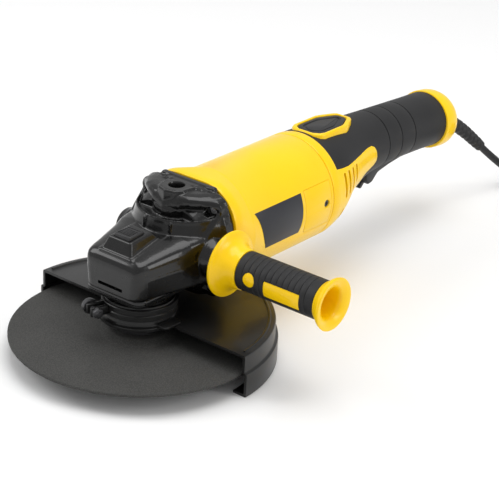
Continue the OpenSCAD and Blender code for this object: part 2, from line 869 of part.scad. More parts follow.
module lock_off_lever() {
    p = lever_pivot;
    color("#18181a") difference() {
        translate([-3, 0, 0]) rotate([90, 0, 90]) linear_extrude(6) polygon([
            [p[1] - 4, p[2] + 4], [p[1] - 8, 52], [p[1] - 14, 42.5], [p[1] - 10.5, 41],
            [p[1] - 3, 48], [p[1] + 3, 53], [p[1] + 4, p[2] + 3]
        ]);
        along_x(-5, p[1], p[2]) rod(1.5, 10);
    }
}

module switch() {
    color("#3b3e42") block(-9, 9, 322, 370, 82, 104);
    color("#b23a2a") block(-4, 4, 330, 338, 80.4, 82);
}

module capacitor() {
    color("#c9a227") block(-8, 8, 286, 308, 84, 100);
}

module cord_clamp() {
    color("#4b4f54") difference() {
        block(-15, 15, 416, 426, 68, 90);
        along_y(410) rod(4.6, 30);
        for (s = [-1, 1]) translate([s * 10, 421, 60]) rod(1.8, 40);
    }
    color("silver") for (s = [-1, 1]) translate([s * 10, 421, 66]) {
        rod(1.75, 22);
        rod(3.4, 2);
    }
}

// ---------- side handle ----------

module side_handle_core() {
    grip_x0 = 78;
    cup_x0 = 163;
    color("#ffdc00") difference() {
        along_x(0, boss_y, boss_z) rotate_extrude($fn = round_fn) polygon([
            [0, boss_x + 0.1], [15, boss_x + 0.1], [15, dish_x - 5], [dish_r - 2, dish_x - 2.2], [dish_r, dish_x],
            [dish_r - 1, dish_x + 1.2], [22, dish_x + 3.4], [18.4, grip_x0 - 3], [18.2, grip_x0 - 0.1],
            [13.8, grip_x0], [13.8, cup_x0], [17.4, cup_x0 + 0.1], [20.5, cup_x0 + 6], [23.5, side_end_x - 1.4],
            [22.4, side_end_x], [12.4, side_end_x], [11, side_end_x - 24], [0, side_end_x - 25]
        ]);
        along_x(boss_x - 1, boss_y, boss_z) rod(thread_r, 35);
    }
}

module side_handle_grip() {
    grip_x0 = 78;
    grip_x1 = 163;
    color("#262628") difference() {
        along_x(grip_x0 + 0.05, boss_y, boss_z) difference() {
            rod(side_grip_r, grip_x1 - grip_x0 - 0.1);
            translate([0, 0, -1]) rod(13.8 + seat, 100);
            for (i = [1 : 9]) translate([0, 0, i * 8.4]) tube(30, side_grip_r - 0.7, 1);
        }
        translate([88, boss_y, boss_z - 6]) rotate([90, 0, 0]) rod(5, 40);
        translate([98, boss_y - 40, boss_z - 14]) cube([44, 40, 12]);
    }
}

module side_handle_stud() {
    color("silver") along_x(boss_x - 17, boss_y, boss_z) rod(thread_r - 0.05, 50);
}

// ---------- cord ----------

module strain_relief() {
    color("#1d1d1f") {
        along_y(446) rod(11.5, 4);
        along_y(449) rod(8.4, 15.2);
        swept_tube(relief_points, relief_radii, 12);
    }
}

module cord_inner_end() {
    color("#202022") along_y(411) rod(cord_d / 2, 34.9);
}

module cord() {
    swept_r = [for (p = cord_points) cord_d / 2];
    color("#202022") swept_tube(cord_points, swept_r, 10);
}

module cord_coil() {
    color("#202022") translate([coil_centre[0], coil_centre[1], floor_z]) rotate_extrude($fn = round_fn)
        polygon([
            [coil_r - 12, 3], [coil_r - 9, 0], [coil_r + 9, 0], [coil_r + 12, 3],
            [coil_r + 12, 21], [coil_r + 9, 24], [coil_r - 9, 24], [coil_r - 12, 21]
        ]);
}

module cord_tie() {
    color("#111111") translate([coil_centre[0] + coil_r, coil_centre[1], floor_z]) difference() {
        translate([-14.1, -4, 0.1]) cube([28.2, 8, 25.6]);
        translate([-12.6, -5, -1]) cube([25.2, 10, 25.2]);
    }
}

module cord_tail() {
    swept_r = [for (p = tail_points) cord_d / 2];
    color("#202022") swept_tube(tail_points, swept_r, 10);
}

module plug() {
    pin_r = 2.4;
    color("#1b1b1d") along_x(plug_at[0], plug_at[1], plug_at[2]) rotate_extrude($fn = 64) polygon([
        [0, 0], [6, 0], [7.2, 12], [11, 20], [plug_r, 27], [plug_r, 46], [16.6, 48], [0, 48]
    ]);
    color("silver") for (s = [-1, 1]) along_x(plug_at[0] + 47, plug_at[1] + s * 9.5, plug_at[2]) rod(pin_r, 20);
}

gear_case();
gear_case_screws();
bearing_cover();
bearing_cover_screws();
spindle();
crown_gear();
spindle_lower_bearing();
spindle_upper_bearing();
inner_flange();
grinding_wheel();
clamp_nut();
wheel_guard();
guard_clamp_band();
guard_clamp_bolt();
spindle_lock_button();
spindle_lock_pin();
spindle_lock_spring();
motor_housing();
side_plates();
brush_covers();
brush_cover_screws();
brush_holders();
carbon_brushes();
brush_springs();
stator_core();
stator_coils();
air_baffle();
armature_shaft();
pinion();
armature_core();
armature_windings();
commutator();
cooling_fan();
armature_front_bearing();
armature_rear_bearing();
swivel_ring();
swivel_ring_screws();
handle_shell_left();
handle_shell_right();
handle_screws();
handle_cover();
tail_cap();
release_frame();
release_button();
release_spring();
trigger();
lock_off_lever();
switch();
capacitor();
cord_clamp();
side_handle_core();
side_handle_grip();
side_handle_stud();
strain_relief();
cord_inner_end();
cord();
cord_coil();
cord_tie();
cord_tail();
plug();
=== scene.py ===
# A large two-handed angle grinder with a 230 mm wheel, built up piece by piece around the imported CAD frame.
# Lengths are millimetres and are turned into metres where a mesh gets its points: x to the side handle,
# y back along the motor, z up the spindle, from the outer face of the clamp nut.
from math import cos, pi, radians, sin

import bmesh
import bpy
from mathutils import Matrix, Vector


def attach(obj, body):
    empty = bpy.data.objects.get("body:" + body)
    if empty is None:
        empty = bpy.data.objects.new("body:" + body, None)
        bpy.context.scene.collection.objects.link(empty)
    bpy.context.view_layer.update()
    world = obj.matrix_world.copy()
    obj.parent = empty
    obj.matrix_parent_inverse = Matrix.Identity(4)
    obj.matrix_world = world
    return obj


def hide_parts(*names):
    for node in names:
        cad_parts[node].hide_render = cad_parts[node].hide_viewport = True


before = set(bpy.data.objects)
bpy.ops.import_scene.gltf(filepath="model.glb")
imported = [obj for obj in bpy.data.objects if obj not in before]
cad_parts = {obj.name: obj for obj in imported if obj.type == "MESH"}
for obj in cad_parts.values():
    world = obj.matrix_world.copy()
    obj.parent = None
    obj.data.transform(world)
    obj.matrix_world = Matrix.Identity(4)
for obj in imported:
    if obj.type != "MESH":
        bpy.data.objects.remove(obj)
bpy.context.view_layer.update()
MM = 0.001

# ---------- camera ----------
# A long lens a little under two metres from the tool, above the right front corner of the guard.
camera_turn, camera_tilt, camera_roll = radians(38.05), radians(24.66), radians(2.85)
camera_back = Vector(
    (sin(camera_turn) * cos(camera_tilt), -cos(camera_turn) * cos(camera_tilt), sin(camera_tilt))
)
level_right = Vector((cos(camera_turn), sin(camera_turn), 0))
level_up = camera_back.cross(level_right)
camera_right = level_right * cos(camera_roll) + level_up * sin(camera_roll)
camera_up = level_up * cos(camera_roll) - level_right * sin(camera_roll)
bpy.ops.object.select_all(action="DESELECT")
bpy.ops.object.camera_add()
camera = bpy.context.object
camera.name = "camera"
camera.data.lens = 120.5
camera.data.clip_end = 100
camera.matrix_world = Matrix.Translation(Vector((876.13, -968.18, 692.24)) * MM) @ Matrix(
    (camera_right, camera_up, camera_back)
).transposed().to_4x4()
bpy.context.scene.camera = camera


# ---------- mains cord ----------
# Rubber-sheathed two-core lead, 8 mm thick and 2.94 m long. It leaves the strain relief, drops to the floor
# in one loose bend and is wound there into a flat coil, three layers of three turns, with the plug beside it.
cord_d = 8
floor_z = -17.5
cord_route = [
    (18, 528, 36), (22, 538, 26.5), (26.5, 549, 16.5), (31, 561, 6.5), (35.5, 574, -3),
    (39, 587, -9.5), (40.6, 599, -12.6), (41, 612, -13.5),
]
tail_route = [(97, 668, 10.5), (111, 668.6, 9.6), (125, 669, 6.8), (139, 669, 3.2), (152, 669, 1)]
coil_x, coil_y = 97, 612
turn_radii = [56, 48, 40, 40, 48, 56, 56, 48, 40]
points_a_turn = 24


def eased(share):
    """A soft start and stop between 0 and 1."""
    share = min(1, max(0, share))
    return share * share * (3 - 2 * share)


def coil_point(turn):
    """The cord's centre after that many turns, clockwise as seen from above."""
    angle = pi - 2 * pi * turn
    whole = min(int(turn), 8)
    here = turn_radii[whole]
    there = turn_radii[min(whole + 1, 8)]
    layer = whole // 3
    shift = eased((turn - whole - 0.72) / 0.28)
    radius = here + (there - here) * shift
    rise = shift if whole % 3 == 2 and whole < 8 else 0
    if turn > 9:
        over = (turn - 9) / 0.25
        radius = 40 + 16 * over
        rise = eased(over * 1.6)
        layer = 2
    height = floor_z + cord_d * (0.5 + layer + rise)
    return (coil_x + radius * cos(angle), coil_y + radius * sin(angle), height)


coil_route = [coil_point(i / points_a_turn) for i in range(1, 9 * points_a_turn + 6)]
route = cord_route + coil_route + tail_route
line = bpy.data.curves.new("mains_cord", "CURVE")
line.dimensions = "3D"
line.bevel_depth = cord_d / 2 * MM
line.bevel_resolution = 4
line.resolution_u = 3
line.use_fill_caps = True
strand = line.splines.new("BEZIER")
strand.bezier_points.add(len(route) - 1)
for knot, point in zip(strand.bezier_points, route):
    knot.co = Vector(point) * MM
    knot.handle_left_type = "AUTO"
    knot.handle_right_type = "AUTO"
mains_cord = bpy.data.objects.new("mains_cord", line)
bpy.context.scene.collection.objects.link(mains_cord)


class Link:
    """A material's socket, so that shader maths reads as plain arithmetic."""

    def __init__(self, tree, socket):
        self.tree = tree
        self.socket = socket

    def node(self, kind, settings=None, inputs=None, output=0):
        """Adds a node with those settings first, then the values or links of its sockets."""
        made = self.tree.nodes.new(kind)
        for key, value in (settings or {}).items():
            if key == "stops":
                ramp = made.color_ramp
                ramp.elements[0].position, ramp.elements[0].color = value[0]
                ramp.elements[1].position, ramp.elements[1].color = value[-1]
                for position, colour in value[1:-1]:
                    ramp.elements.new(position).color = colour
            else:
                setattr(made, key, value)
        for key, value in (inputs or {}).items():
            if isinstance(value, Link):
                self.tree.links.new(value.socket, made.inputs[key])
            else:
                made.inputs[key].default_value = value
        return Link(self.tree, made.outputs[output])

    def maths(self, operation, first, second=0.0):
        return self.node("ShaderNodeMath", {"operation": operation}, {0: first, 1: second})

    def __add__(self, other):
        return self.maths("ADD", self, other)

    def __radd__(self, other):
        return self.maths("ADD", other, self)

    def __sub__(self, other):
        return self.maths("SUBTRACT", self, other)

    def __rsub__(self, other):
        return self.maths("SUBTRACT", other, self)

    def __mul__(self, other):
        return self.maths("MULTIPLY", self, other)

    def __rmul__(self, other):
        return self.maths("MULTIPLY", other, self)

    def noise(self, size_mm, detail=2.0, rough=0.5):
        """Noise from 0 to 1 whose blobs are about size_mm across."""
        return self.node(
            "ShaderNodeTexNoise", None,
            {"Vector": self, "Scale": 1 / (size_mm * MM), "Detail": detail, "Roughness": rough},
        )

    def ramp(self, *stops):
        return self.node("ShaderNodeValToRGB", {"stops": stops}, {0: self})

    def between(self, dark, light):
        """A colour from dark to light as this value goes from 0 to 1."""
        return self.node(
            "ShaderNodeMix", {"data_type": "RGBA"}, {0: self, 6: dark, 7: light}, output=2
        )

    def bump(self, depth_mm, strength=1.0):
        return self.node(
            "ShaderNodeBump", None, {"Height": self, "Distance": depth_mm * MM, "Strength": strength}
        )


def finish_named(name, **constants):
    """A new material: its shader and the object's own coordinates."""
    material = bpy.data.materials.new(name)
    material.use_nodes = True
    shader = material.node_tree.nodes["Principled BSDF"]
    for key, value in constants.items():
        shader.inputs[key.replace("_", " ")].default_value = value
    place = Link(material.node_tree, None).node("ShaderNodeTexCoord", output=3)
    return material, shader, place


def feed(shader, **links):
    for key, link in links.items():
        link.tree.links.new(link.socket, shader.inputs[key.replace("_", " ")])


def rubber_sheath():
    """Matt black rubber, dusty in blotches and faintly pitted."""
    material, shader, place = finish_named("rubber_sheath", Specular_IOR_Level=0.4)
    dust = place.noise(14, 4)
    feed(
        shader,
        Base_Color=dust.between((0.008, 0.008, 0.009, 1), (0.022, 0.022, 0.023, 1)),
        Roughness=0.42 + 0.2 * dust,
        Normal=place.noise(0.7, 3).bump(0.06, 0.5),
    )
    return material


def coat(piece, material):
    piece.data.materials.clear()
    piece.data.materials.append(material)


sheath = rubber_sheath()
coat(mains_cord, sheath)


def settle(piece, name, body, material, nodes=()):
    """Names a finished piece, paints it and hangs it on its body in place of its CAD nodes."""
    piece.name = name
    piece.data.name = name
    coat(piece, material)
    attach(piece, body)
    if nodes:
        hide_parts(*nodes)
    return piece


def ring_on(axis, centre, radius, count=64, second=None):
    """A ring of points round an axis: 'x', 'y' or 'z'. second is its radius across, for an oval."""
    second = second or radius
    points = []
    for i in range(count):
        angle = 2 * pi * i / count
        a, b = radius * cos(angle), second * sin(angle)
        offset = {"z": (a, b, 0), "y": (b, 0, a), "x": (0, a, b)}[axis]
        points.append(tuple(c + o for c, o in zip(centre, offset)))
    return points


def skin_over(rings, closed=False):
    """A circle is placed on the first ring, then extruded from ring to ring and capped or closed."""
    bpy.ops.object.select_all(action="DESELECT")
    bpy.ops.mesh.primitive_circle_add(vertices=len(rings[0]), radius=1)
    piece = bpy.context.object
    for vertex, point in zip(piece.data.vertices, rings[0]):
        vertex.co = Vector(point) * MM
    bpy.ops.object.mode_set(mode="EDIT")
    bpy.ops.mesh.select_all(action="SELECT")
    shape = bmesh.from_edit_mesh(piece.data)
    order = shape.verts.layers.int.new("order")
    for i, vertex in enumerate(shape.verts):
        vertex[order] = i
    for ring in rings[1:]:
        bpy.ops.mesh.extrude_edges_move()
        for vertex in shape.verts:
            if vertex.select:
                vertex.co = Vector(ring[vertex[order]]) * MM
    shape.verts.layers.int.remove(order)
    open_edges = [edge for edge in shape.edges if len(edge.link_faces) == 1]
    bpy.ops.mesh.select_all(action="DESELECT")
    for edge in open_edges:
        edge.select = True
    if closed:
        bpy.ops.mesh.bridge_edge_loops()
    else:
        bpy.ops.mesh.fill_holes(sides=0)
    bpy.ops.mesh.select_all(action="SELECT")
    bpy.ops.mesh.remove_doubles(threshold=0.002 * MM)
    bpy.ops.mesh.normals_make_consistent(inside=False)
    bpy.ops.object.mode_set(mode="OBJECT")
    return piece


def turned(axis, centre, outline, count=96, closed=False):
    """A turned piece from its outline, a list of (distance along the axis, radius)."""
    index = "xyz".index(axis)
    rings = []
    for along, radius in outline:
        middle = list(centre)
        middle[index] += along
        rings.append(ring_on(axis, middle, radius, count))
    return skin_over(rings, closed)


def active(piece):
    bpy.ops.object.select_all(action="DESELECT")
    piece.select_set(True)
    bpy.context.view_layer.objects.active = piece


def modified(piece, kind, **settings):
    """Adds a modifier and applies it."""
    active(piece)
    modifier = piece.modifiers.new(kind.lower(), kind)
    for key, value in settings.items():
        setattr(modifier, key, value)
    bpy.ops.object.modifier_apply(modifier=modifier.name)
    return piece


def rounded(piece, width, segments=2, angle=32):
    """Breaks the sharp edges."""
    return modified(
        piece, "BEVEL", width=width * MM, segments=segments, limit_method="ANGLE",
        angle_limit=radians(angle), harden_normals=False,
    )


def smooth(piece, angle=35):
    active(piece)
    bpy.ops.object.shade_smooth_by_angle(angle=radians(angle))
    return piece


def joined(pieces):
    bpy.ops.object.select_all(action="DESELECT")
    for piece in pieces:
        piece.select_set(True)
    bpy.context.view_layer.objects.active = pieces[0]
    if len(pieces) > 1:
        bpy.ops.object.join()
    return pieces[0]


def booled(piece, tool, operation="DIFFERENCE"):
    """Cuts with, adds or keeps what is shared with another shape, which is used up."""
    modified(piece, "BOOLEAN", operation=operation, object=tool, solver="EXACT")
    bpy.data.objects.remove(tool)
    return piece


def along_route(points, radii, count=24):
    """Rings square to a line of points, carried along it without twist."""
    points = [Vector(p) for p in points]
    rings = []
    side = Vector((1, 0, 0))
    for i, point in enumerate(points):
        ahead = points[min(i + 1, len(points) - 1)] - points[max(i - 1, 0)]
        ahead.normalize()
        side = (side - ahead * side.dot(ahead)).normalized()
        across = ahead.cross(side)
        rings.append([
            tuple(point + radii[i] * (cos(2 * pi * k / count) * side + sin(2 * pi * k / count) * across))
            for k in range(count)
        ])
    return rings


def curve_through(knots, share):
    """A point on the soft curve through the knots, share running from 0 to 1."""
    spot = share * (len(knots) - 1)
    i = min(int(spot), len(knots) - 2)
    t = spot - i
    a, b, c, d = (Vector(knots[min(max(j, 0), len(knots) - 1)]) for j in (i - 1, i, i + 1, i + 2))
    return 0.5 * (
        2 * b + (c - a) * t + (2 * a - 5 * b + 4 * c - d) * t * t + (3 * b - 3 * c + d - a) * t ** 3
    )


# ---------- strain relief ----------
# Moulded rubber sleeve, 80 mm long, that bends with the cord: a smooth root in the tail cap, then ribs with
# slots between them, tapering to a thick lip at the end.
relief_knots = [
    (0, 464, 76.7), (1, 478, 74.5), (4, 492, 67), (9, 506, 56.5), (14, 518, 45.5), (18, 528, 36),
]
relief_points, relief_radii = [(0, 447, 76.7), (0, 450, 76.7), (0, 450.2, 76.7)], [11, 11, 8.4]
steps = 60
for i in range(steps + 1):
    share = i / steps
    plain = 8.4 - 2.2 * share
    rib = 0 if i % 5 in (0, 1) else 0.9
    if i < 6 or i > 55:
        rib = 0.6
    relief_points.append(tuple(curve_through(relief_knots, share)))
    relief_radii.append(plain - 0.9 + rib)
strain_relief = skin_over(along_route(relief_points, relief_radii, 32))
smooth(rounded(strain_relief, 0.25, 2, 40), 40)
settle(strain_relief, "relief_sleeve", "rear_handle", sheath, ["strain_relief"])


# ---------- plug and cord tie ----------
# Round moulded plug with two pins, a collar to grip it by and a ribbed tail; the coil is held by a strap.
plug_x, plug_y, plug_z = 152, 669, 1
plug_outline = [
    (0, 5.2), (0, 6), (2, 6.2), (2.2, 5.4), (4, 5.6), (4.2, 6.6), (6, 6.8), (6.2, 5.9), (8, 6.1), (8.2, 7.1),
    (10, 7.4), (12, 7.6), (15, 9), (19, 11.5), (23, 15), (27, 17.6), (29, 18.3), (31, 18.4), (32, 17.7),
    (41, 17.7), (42, 18.4), (45.4, 18.4), (46.6, 17.8), (47.6, 16.6), (48, 15.4),
]
plug = smooth(turned("x", (plug_x, plug_y, plug_z), plug_outline, 72), 30)
settle(plug, "plug_body", "root", sheath, ["plug"])


def bright_steel(name="zinc_plate", tone=0.62, rough=0.28):
    """Bright plated steel with fine scuffs."""
    material, shader, place = finish_named(name, Metallic=1.0)
    scuff = place.noise(3, 5, 0.7)
    dark, light = tone * 0.8, tone * 1.1
    feed(
        shader,
        Base_Color=scuff.between((dark, dark, dark * 1.02, 1), (light, light, light, 1)),
        Roughness=rough + 0.18 * scuff,
        Normal=place.noise(0.5, 2).bump(0.02, 0.4),
    )
    return material


zinc = bright_steel()
pin_outline = [(0, 2), (12, 2), (12.1, 2.4), (19, 2.4), (20, 1.8), (20.5, 1)]
pins = [turned("x", (plug_x + 46.5, plug_y + side * 9.5, plug_z), pin_outline, 32) for side in (-1, 1)]
plug_pins = smooth(joined(pins))
settle(plug_pins, "plug_pins", "root", zinc)

tie_x = coil_x + 48
tie_half, tie_top = 12.7, 8.0
strap_path = [
    (tie_x - tie_half, -16.6), (tie_x - tie_half, -9), (tie_x - tie_half, 3), (tie_x - tie_half + 3, 7),
    (tie_x, tie_top), (tie_x + tie_half - 3, 7), (tie_x + tie_half, 3), (tie_x + tie_half, -9),
    (tie_x + tie_half, -16.6), (tie_x, -17),
]
strap_rings = []
for x, z in strap_path:
    inside_x, inside_z = x - 0.5 * (x - tie_x) / tie_half, z - 0.4 * (z > 0)
    strap_rings.append([
        (inside_x, coil_y - 4, inside_z), (x, coil_y - 4, z),
        (x, coil_y + 4, z), (inside_x, coil_y + 4, inside_z),
    ])
tie_strap = smooth(skin_over(strap_rings, closed=True), 60)


def woven_strap():
    """Black hook-and-loop strap."""
    material, shader, place = finish_named("woven_strap", Roughness=0.85)
    weave = place.node("ShaderNodeTexWave", {"bands_direction": "Y"}, {"Vector": place, "Scale": 600.0})
    feed(
        shader,
        Base_Color=place.noise(1.2).between((0.006, 0.006, 0.006, 1), (0.03, 0.03, 0.03, 1)),
        Normal=weave.bump(0.1, 0.5),
    )
    return material


settle(tie_strap, "tie_strap", "root", woven_strap(), ["cord_tie"])
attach(mains_cord, "root")
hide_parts("cord", "cord_coil", "cord_tail")

# ---------- floor and light ----------
# A wide pale floor, a big soft light from the left and above, a long strip over the motor and a weak fill.
bpy.ops.object.select_all(action="DESELECT")
bpy.ops.mesh.primitive_plane_add(size=40, location=(0, 0, floor_z * MM))
floor = bpy.context.object
floor.name = "floor"
floor_paint, floor_shader, floor_place = finish_named("pale_floor", Roughness=0.6, Specular_IOR_Level=0.2)
feed(floor_shader, Base_Color=floor_place.noise(2000).between((0.86, 0.86, 0.86, 1), (0.9, 0.9, 0.9, 1)))
coat(floor, floor_paint)
world = bpy.data.worlds.new("studio")
bpy.context.scene.world = world
world.use_nodes = True
world.node_tree.nodes["Background"].inputs["Color"].default_value = (1, 1, 1, 1)
world.node_tree.nodes["Background"].inputs["Strength"].default_value = 0.62
bpy.context.scene.view_settings.view_transform = "Standard"


def softbox(name, place, aim, width, height, power):
    """A soft rectangular light that looks from one point to another, in metres."""
    bpy.ops.object.select_all(action="DESELECT")
    bpy.ops.object.light_add(type="AREA", location=place)
    light = bpy.context.object
    light.name = name
    light.data.shape = "RECTANGLE"
    light.data.size = width
    light.data.size_y = height
    light.data.energy = power
    way = Vector(aim) - Vector(place)
    light.rotation_euler = way.to_track_quat("-Z", "Y").to_euler()
    return light


softbox("top_light", (0.1, 0.3, 2.2), (0, 0.2, 0), 1.6, 1.6, 26)
softbox("side_light", (2.4, 0.9, 1.1), (0, 0.2, 0.05), 0.7, 1.6, 16)
softbox("left_light", (-1.6, -0.9, 1.5), (0, 0.1, 0.05), 0.8, 1.4, 14)


# ---------- grinding wheel ----------
# Resin-bonded abrasive disc, 230 by 3 mm, pressed with glass cloth inside; its centre is raised 5 mm and
# holds a steel bush.
wheel_outline = [
    (5, 11.115), (5, 25.4), (4.7, 26.4), (0.5, 32.2), (0, 33.4), (0, 60), (0, 90), (0, 114.4), (0.5, 115),
    (2.5, 115), (3, 114.4), (3, 90), (3, 60), (3, 35.6), (3.4, 34.4), (7.6, 28.2), (8, 27), (8, 11.115),
]
wheel = smooth(turned("z", (0, 0, 0), wheel_outline, 192, closed=True), 30)


def bonded_grit():
    """Dark grit in resin, with lighter grains and pits, and faint broad blotches."""
    material, shader, place = finish_named("bonded_grit", Specular_IOR_Level=0.35)
    grains = place.node("ShaderNodeTexVoronoi", None, {"Vector": place, "Scale": 900.0})
    grit = grains.ramp((0.0, (1, 1, 1, 1)), (0.25, (0.55, 0.55, 0.55, 1)), (0.6, (0, 0, 0, 1)))
    tone = 0.45 * grit + 0.35 * place.noise(1.6, 4, 0.7) + 0.2 * place.noise(45, 3)
    feed(
        shader,
        Base_Color=tone.between((0.018, 0.018, 0.017, 1), (0.098, 0.097, 0.092, 1)),
        Roughness=0.62 + 0.25 * place.noise(1, 2),
        Normal=(0.7 * grit + place.noise(0.9, 3)).bump(0.22, 0.7),
    )
    return material


settle(wheel, "abrasive_wheel", "spindle", bonded_grit(), ["grinding_wheel"])

# ---------- clamp nut and flange ----------
# Blackened steel: the flange sits on the spindle behind the wheel, the round nut has two pin-spanner holes.


def oiled_steel():
    """Blackened steel, brighter where it has been handled."""
    material, shader, place = finish_named("oiled_steel", Metallic=0.85)
    wear = place.noise(6, 5, 0.65)
    feed(
        shader,
        Base_Color=wear.between((0.03, 0.03, 0.032, 1), (0.13, 0.13, 0.135, 1)),
        Roughness=0.3 + 0.3 * wear,
        Normal=place.noise(0.6, 3).bump(0.03, 0.5),
    )
    return material


blackened = oiled_steel()
nut_outline = [
    (0, 7), (0, 18.9), (0.9, 20), (3.4, 20), (4, 19.3), (4, 18.5), (5, 18.3), (5, 7),
]
clamp_nut = turned("z", (0, 0, 0), nut_outline, 96, closed=True)
for side in (-1, 1):
    booled(clamp_nut, turned("z", (side * 15, 0, -1), [(0, 2.5), (5, 2.5)], 32))
smooth(rounded(clamp_nut, 0.25))
settle(clamp_nut, "wheel_nut", "spindle", blackened, ["clamp_nut"])
flange_outline = [
    (5.6, 7), (5.6, 11), (8, 11), (8, 20.6), (8.4, 21), (10.4, 21), (11, 20.4), (11, 17.2), (14.6, 17),
    (15, 16.6), (15, 7),
]
inner_flange = smooth(turned("z", (0, 0, 0), flange_outline, 96, closed=True), 30)
settle(inner_flange, "backing_flange", "spindle", blackened, ["inner_flange"])

# ---------- wheel guard ----------
# Deep-drawn steel hood over the rear half of the wheel, powder coated black: a flat top, two stepped walls
# and a rolled lip below, welded to a collar that turns on the neck of the gear head.
hood_outline = [
    (30.5, 18.9), (117.2, 18.9), (117.5, 18.6), (117.5, 5.2), (117.9, 4.4), (119.8, 3.4), (120.2, 2.6),
    (120.2, -14.6), (119.8, -15), (108.9, -15), (108.5, -15.3), (108.5, -17.2), (108.8, -17.5),
    (121.4, -17.5), (122.3, -17.1), (122.7, -16.2), (122.7, 3.4), (122.3, 4.4), (120.4, 5.3),
    (120, 6.1), (120, 19.2), (119.5, 20.7), (118, 21.4), (30.5, 21.4),
]


def swung(outline, start, stop, steps):
    """A sheet outline of (radius, height) swung round the spindle."""
    rings = []
    for i in range(steps + 1):
        angle = radians(start + (stop - start) * i / steps)
        rings.append([(r * cos(angle), r * sin(angle), z) for r, z in outline])
    return skin_over(rings)


hood = swung(hood_outline, 0, 180, 90)
collar_outline = [
    (18.9, 29.8), (39, 29.8), (39.4, 30), (39.4, 31.2), (39, 31.4), (23.4, 31.4), (22.2, 31.9), (21.5, 33),
    (21.4, 35.6), (21, 36), (18.9, 36),
]
collar = turned("z", (0, 0, 0), collar_outline, 96, closed=True)
# A pressed rim that runs round the top of the hood.
bead_outline = [(112.6, 21.2), (113.2, 22.1), (114.2, 22.4), (115.2, 22.1), (115.8, 21.2)]
hood_rim = swung(bead_outline, 3, 177, 80)
bracket = [
    [(x, y, z) for x, y in ((31.5, -13), (40, -13), (43, -10), (43, 6), (40, 9), (31.5, 9))]
    for z in (21.3, 24.0)
]
wheel_guard = smooth(joined([hood, collar, hood_rim, rounded(skin_over(bracket), 0.7)]), 40)


def powder_coat():
    """Black powder coat: half gloss, fine orange peel, worn a little thinner in patches."""
    material, shader, place = finish_named("powder_coat", Specular_IOR_Level=0.35, Coat_Roughness=0.12)
    patch = place.noise(30, 4)
    feed(
        shader,
        Base_Color=patch.between((0.005, 0.005, 0.005, 1), (0.011, 0.011, 0.011, 1)),
        Roughness=0.3 + 0.14 * patch,
        Coat_Weight=0.12 + 0.12 * patch,
        Normal=place.noise(1.4, 3).bump(0.05, 0.35),
    )
    return material


black_coat = powder_coat()
settle(wheel_guard, "guard_hood", "guard", black_coat, ["wheel_guard"])

# ---------- guard clamp ----------
# Steel strap round the collar, drawn tight by one bolt with a round head on the left of the nose.
band_outline = [
    (27, 31.42), (27, 33.4), (27.4, 33.82), (31.8, 33.82), (32.5, 33.2), (33.2, 33.82), (37.6, 33.82),
    (38, 33.4), (38, 31.42),
]


def slab(x0, x1, y0, y1, z0, z1, edge=0.0):
    """A block between those faces with its edges broken."""
    bpy.ops.object.select_all(action="DESELECT")
    middle = Vector((x0 + x1, y0 + y1, z0 + z1)) * MM / 2
    bpy.ops.mesh.primitive_cube_add(size=1, location=middle, scale=Vector((x1 - x0, y1 - y0, z1 - z0)) * MM)
    bpy.ops.object.transform_apply(location=True, rotation=True, scale=True)
    piece = bpy.context.object
    if edge:
        rounded(piece, edge, 3)
    return piece


def spun(piece, angle, axis="Z", centre=(0, 0, 0)):
    """Turns a mesh about an axis through a point."""
    middle = Vector(centre) * MM
    turn = Matrix.Rotation(radians(angle), 4, axis)
    piece.data.transform(Matrix.Translation(middle) @ turn @ Matrix.Translation(-middle))
    return piece


clamp_turn = -110
ears = [
    spun(slab(33, 49.6, s * 4.2 - 1.6, s * 4.2 + 1.6, 28, 37, 1.2), clamp_turn) for s in (-1, 1)
]
band = turned("z", (0, 0, 0), band_outline, 96, closed=True)
guard_clamp_band = smooth(joined([band] + ears), 40)
settle(guard_clamp_band, "guard_band", "guard", black_coat, ["guard_clamp_band"])
bolt_at = (44.5, 0, 32.5)
bolt_head = turned("y", bolt_at, [
    (-12.6, 3.2), (-12.2, 5.4), (-11, 6.4), (-8.2, 6.9), (-6.4, 6.9), (-5.8, 6.3), (-5.8, 2)
], 40)
bolt_shank = turned("y", bolt_at, [(-6, 2.5), (10.2, 2.5), (10.6, 2.1)], 24)
bolt_nut = rounded(turned("y", bolt_at, [(5.84, 5), (9.84, 5)], 6), 0.4)
guard_clamp_bolt = smooth(spun(joined([bolt_head, bolt_shank, bolt_nut]), clamp_turn), 35)
settle(guard_clamp_bolt, "guard_bolt", "guard", blackened, ["guard_clamp_bolt"])

# ---------- gear head ----------
# One aluminium die casting, sprayed gloss black: a square-shouldered nose over the spindle, a step with a
# thin rim, and above it a visor with a blunt keel that carries the top handle boss back to the motor flange.
head_y = 55.8
motor_z = 76.7
screw_offset = 37
top_hole_y = 44.8
side_hole_y, side_hole_z = 42, 75


def through(table, at):
    """A value between the entries of a short list of (place, value)."""
    for (a, va), (b, vb) in zip(table, table[1:]):
        if at <= b:
            return va + (vb - va) * max(0, (at - a) / (b - a))
    return table[-1][1]


# Four measures of the nose along y: its half width, its crown, the crease below the crown, how square it is.
nose_half = [
    (-38, 24), (-37.4, 27), (-35.6, 29.8), (-32, 32), (-26, 34), (-11, 37.4), (3, 40.6), (14, 43.6),
    (28, 46), (56, 47),
]
nose_top = [
    (-38, 76), (-37.4, 79.4), (-36, 82.8), (-33, 86), (-30, 87.4), (-11, 91.4), (9, 95), (18, 96.4),
    (56, 97),
]
nose_crease = [(-38, 71), (-25, 72), (9, 74), (30, 79), (56, 84)]
nose_square = [(-38, 7), (-30, 5), (-18, 4.2), (9, 4), (30, 5.4), (56, 6)]
cover_top = 51.8


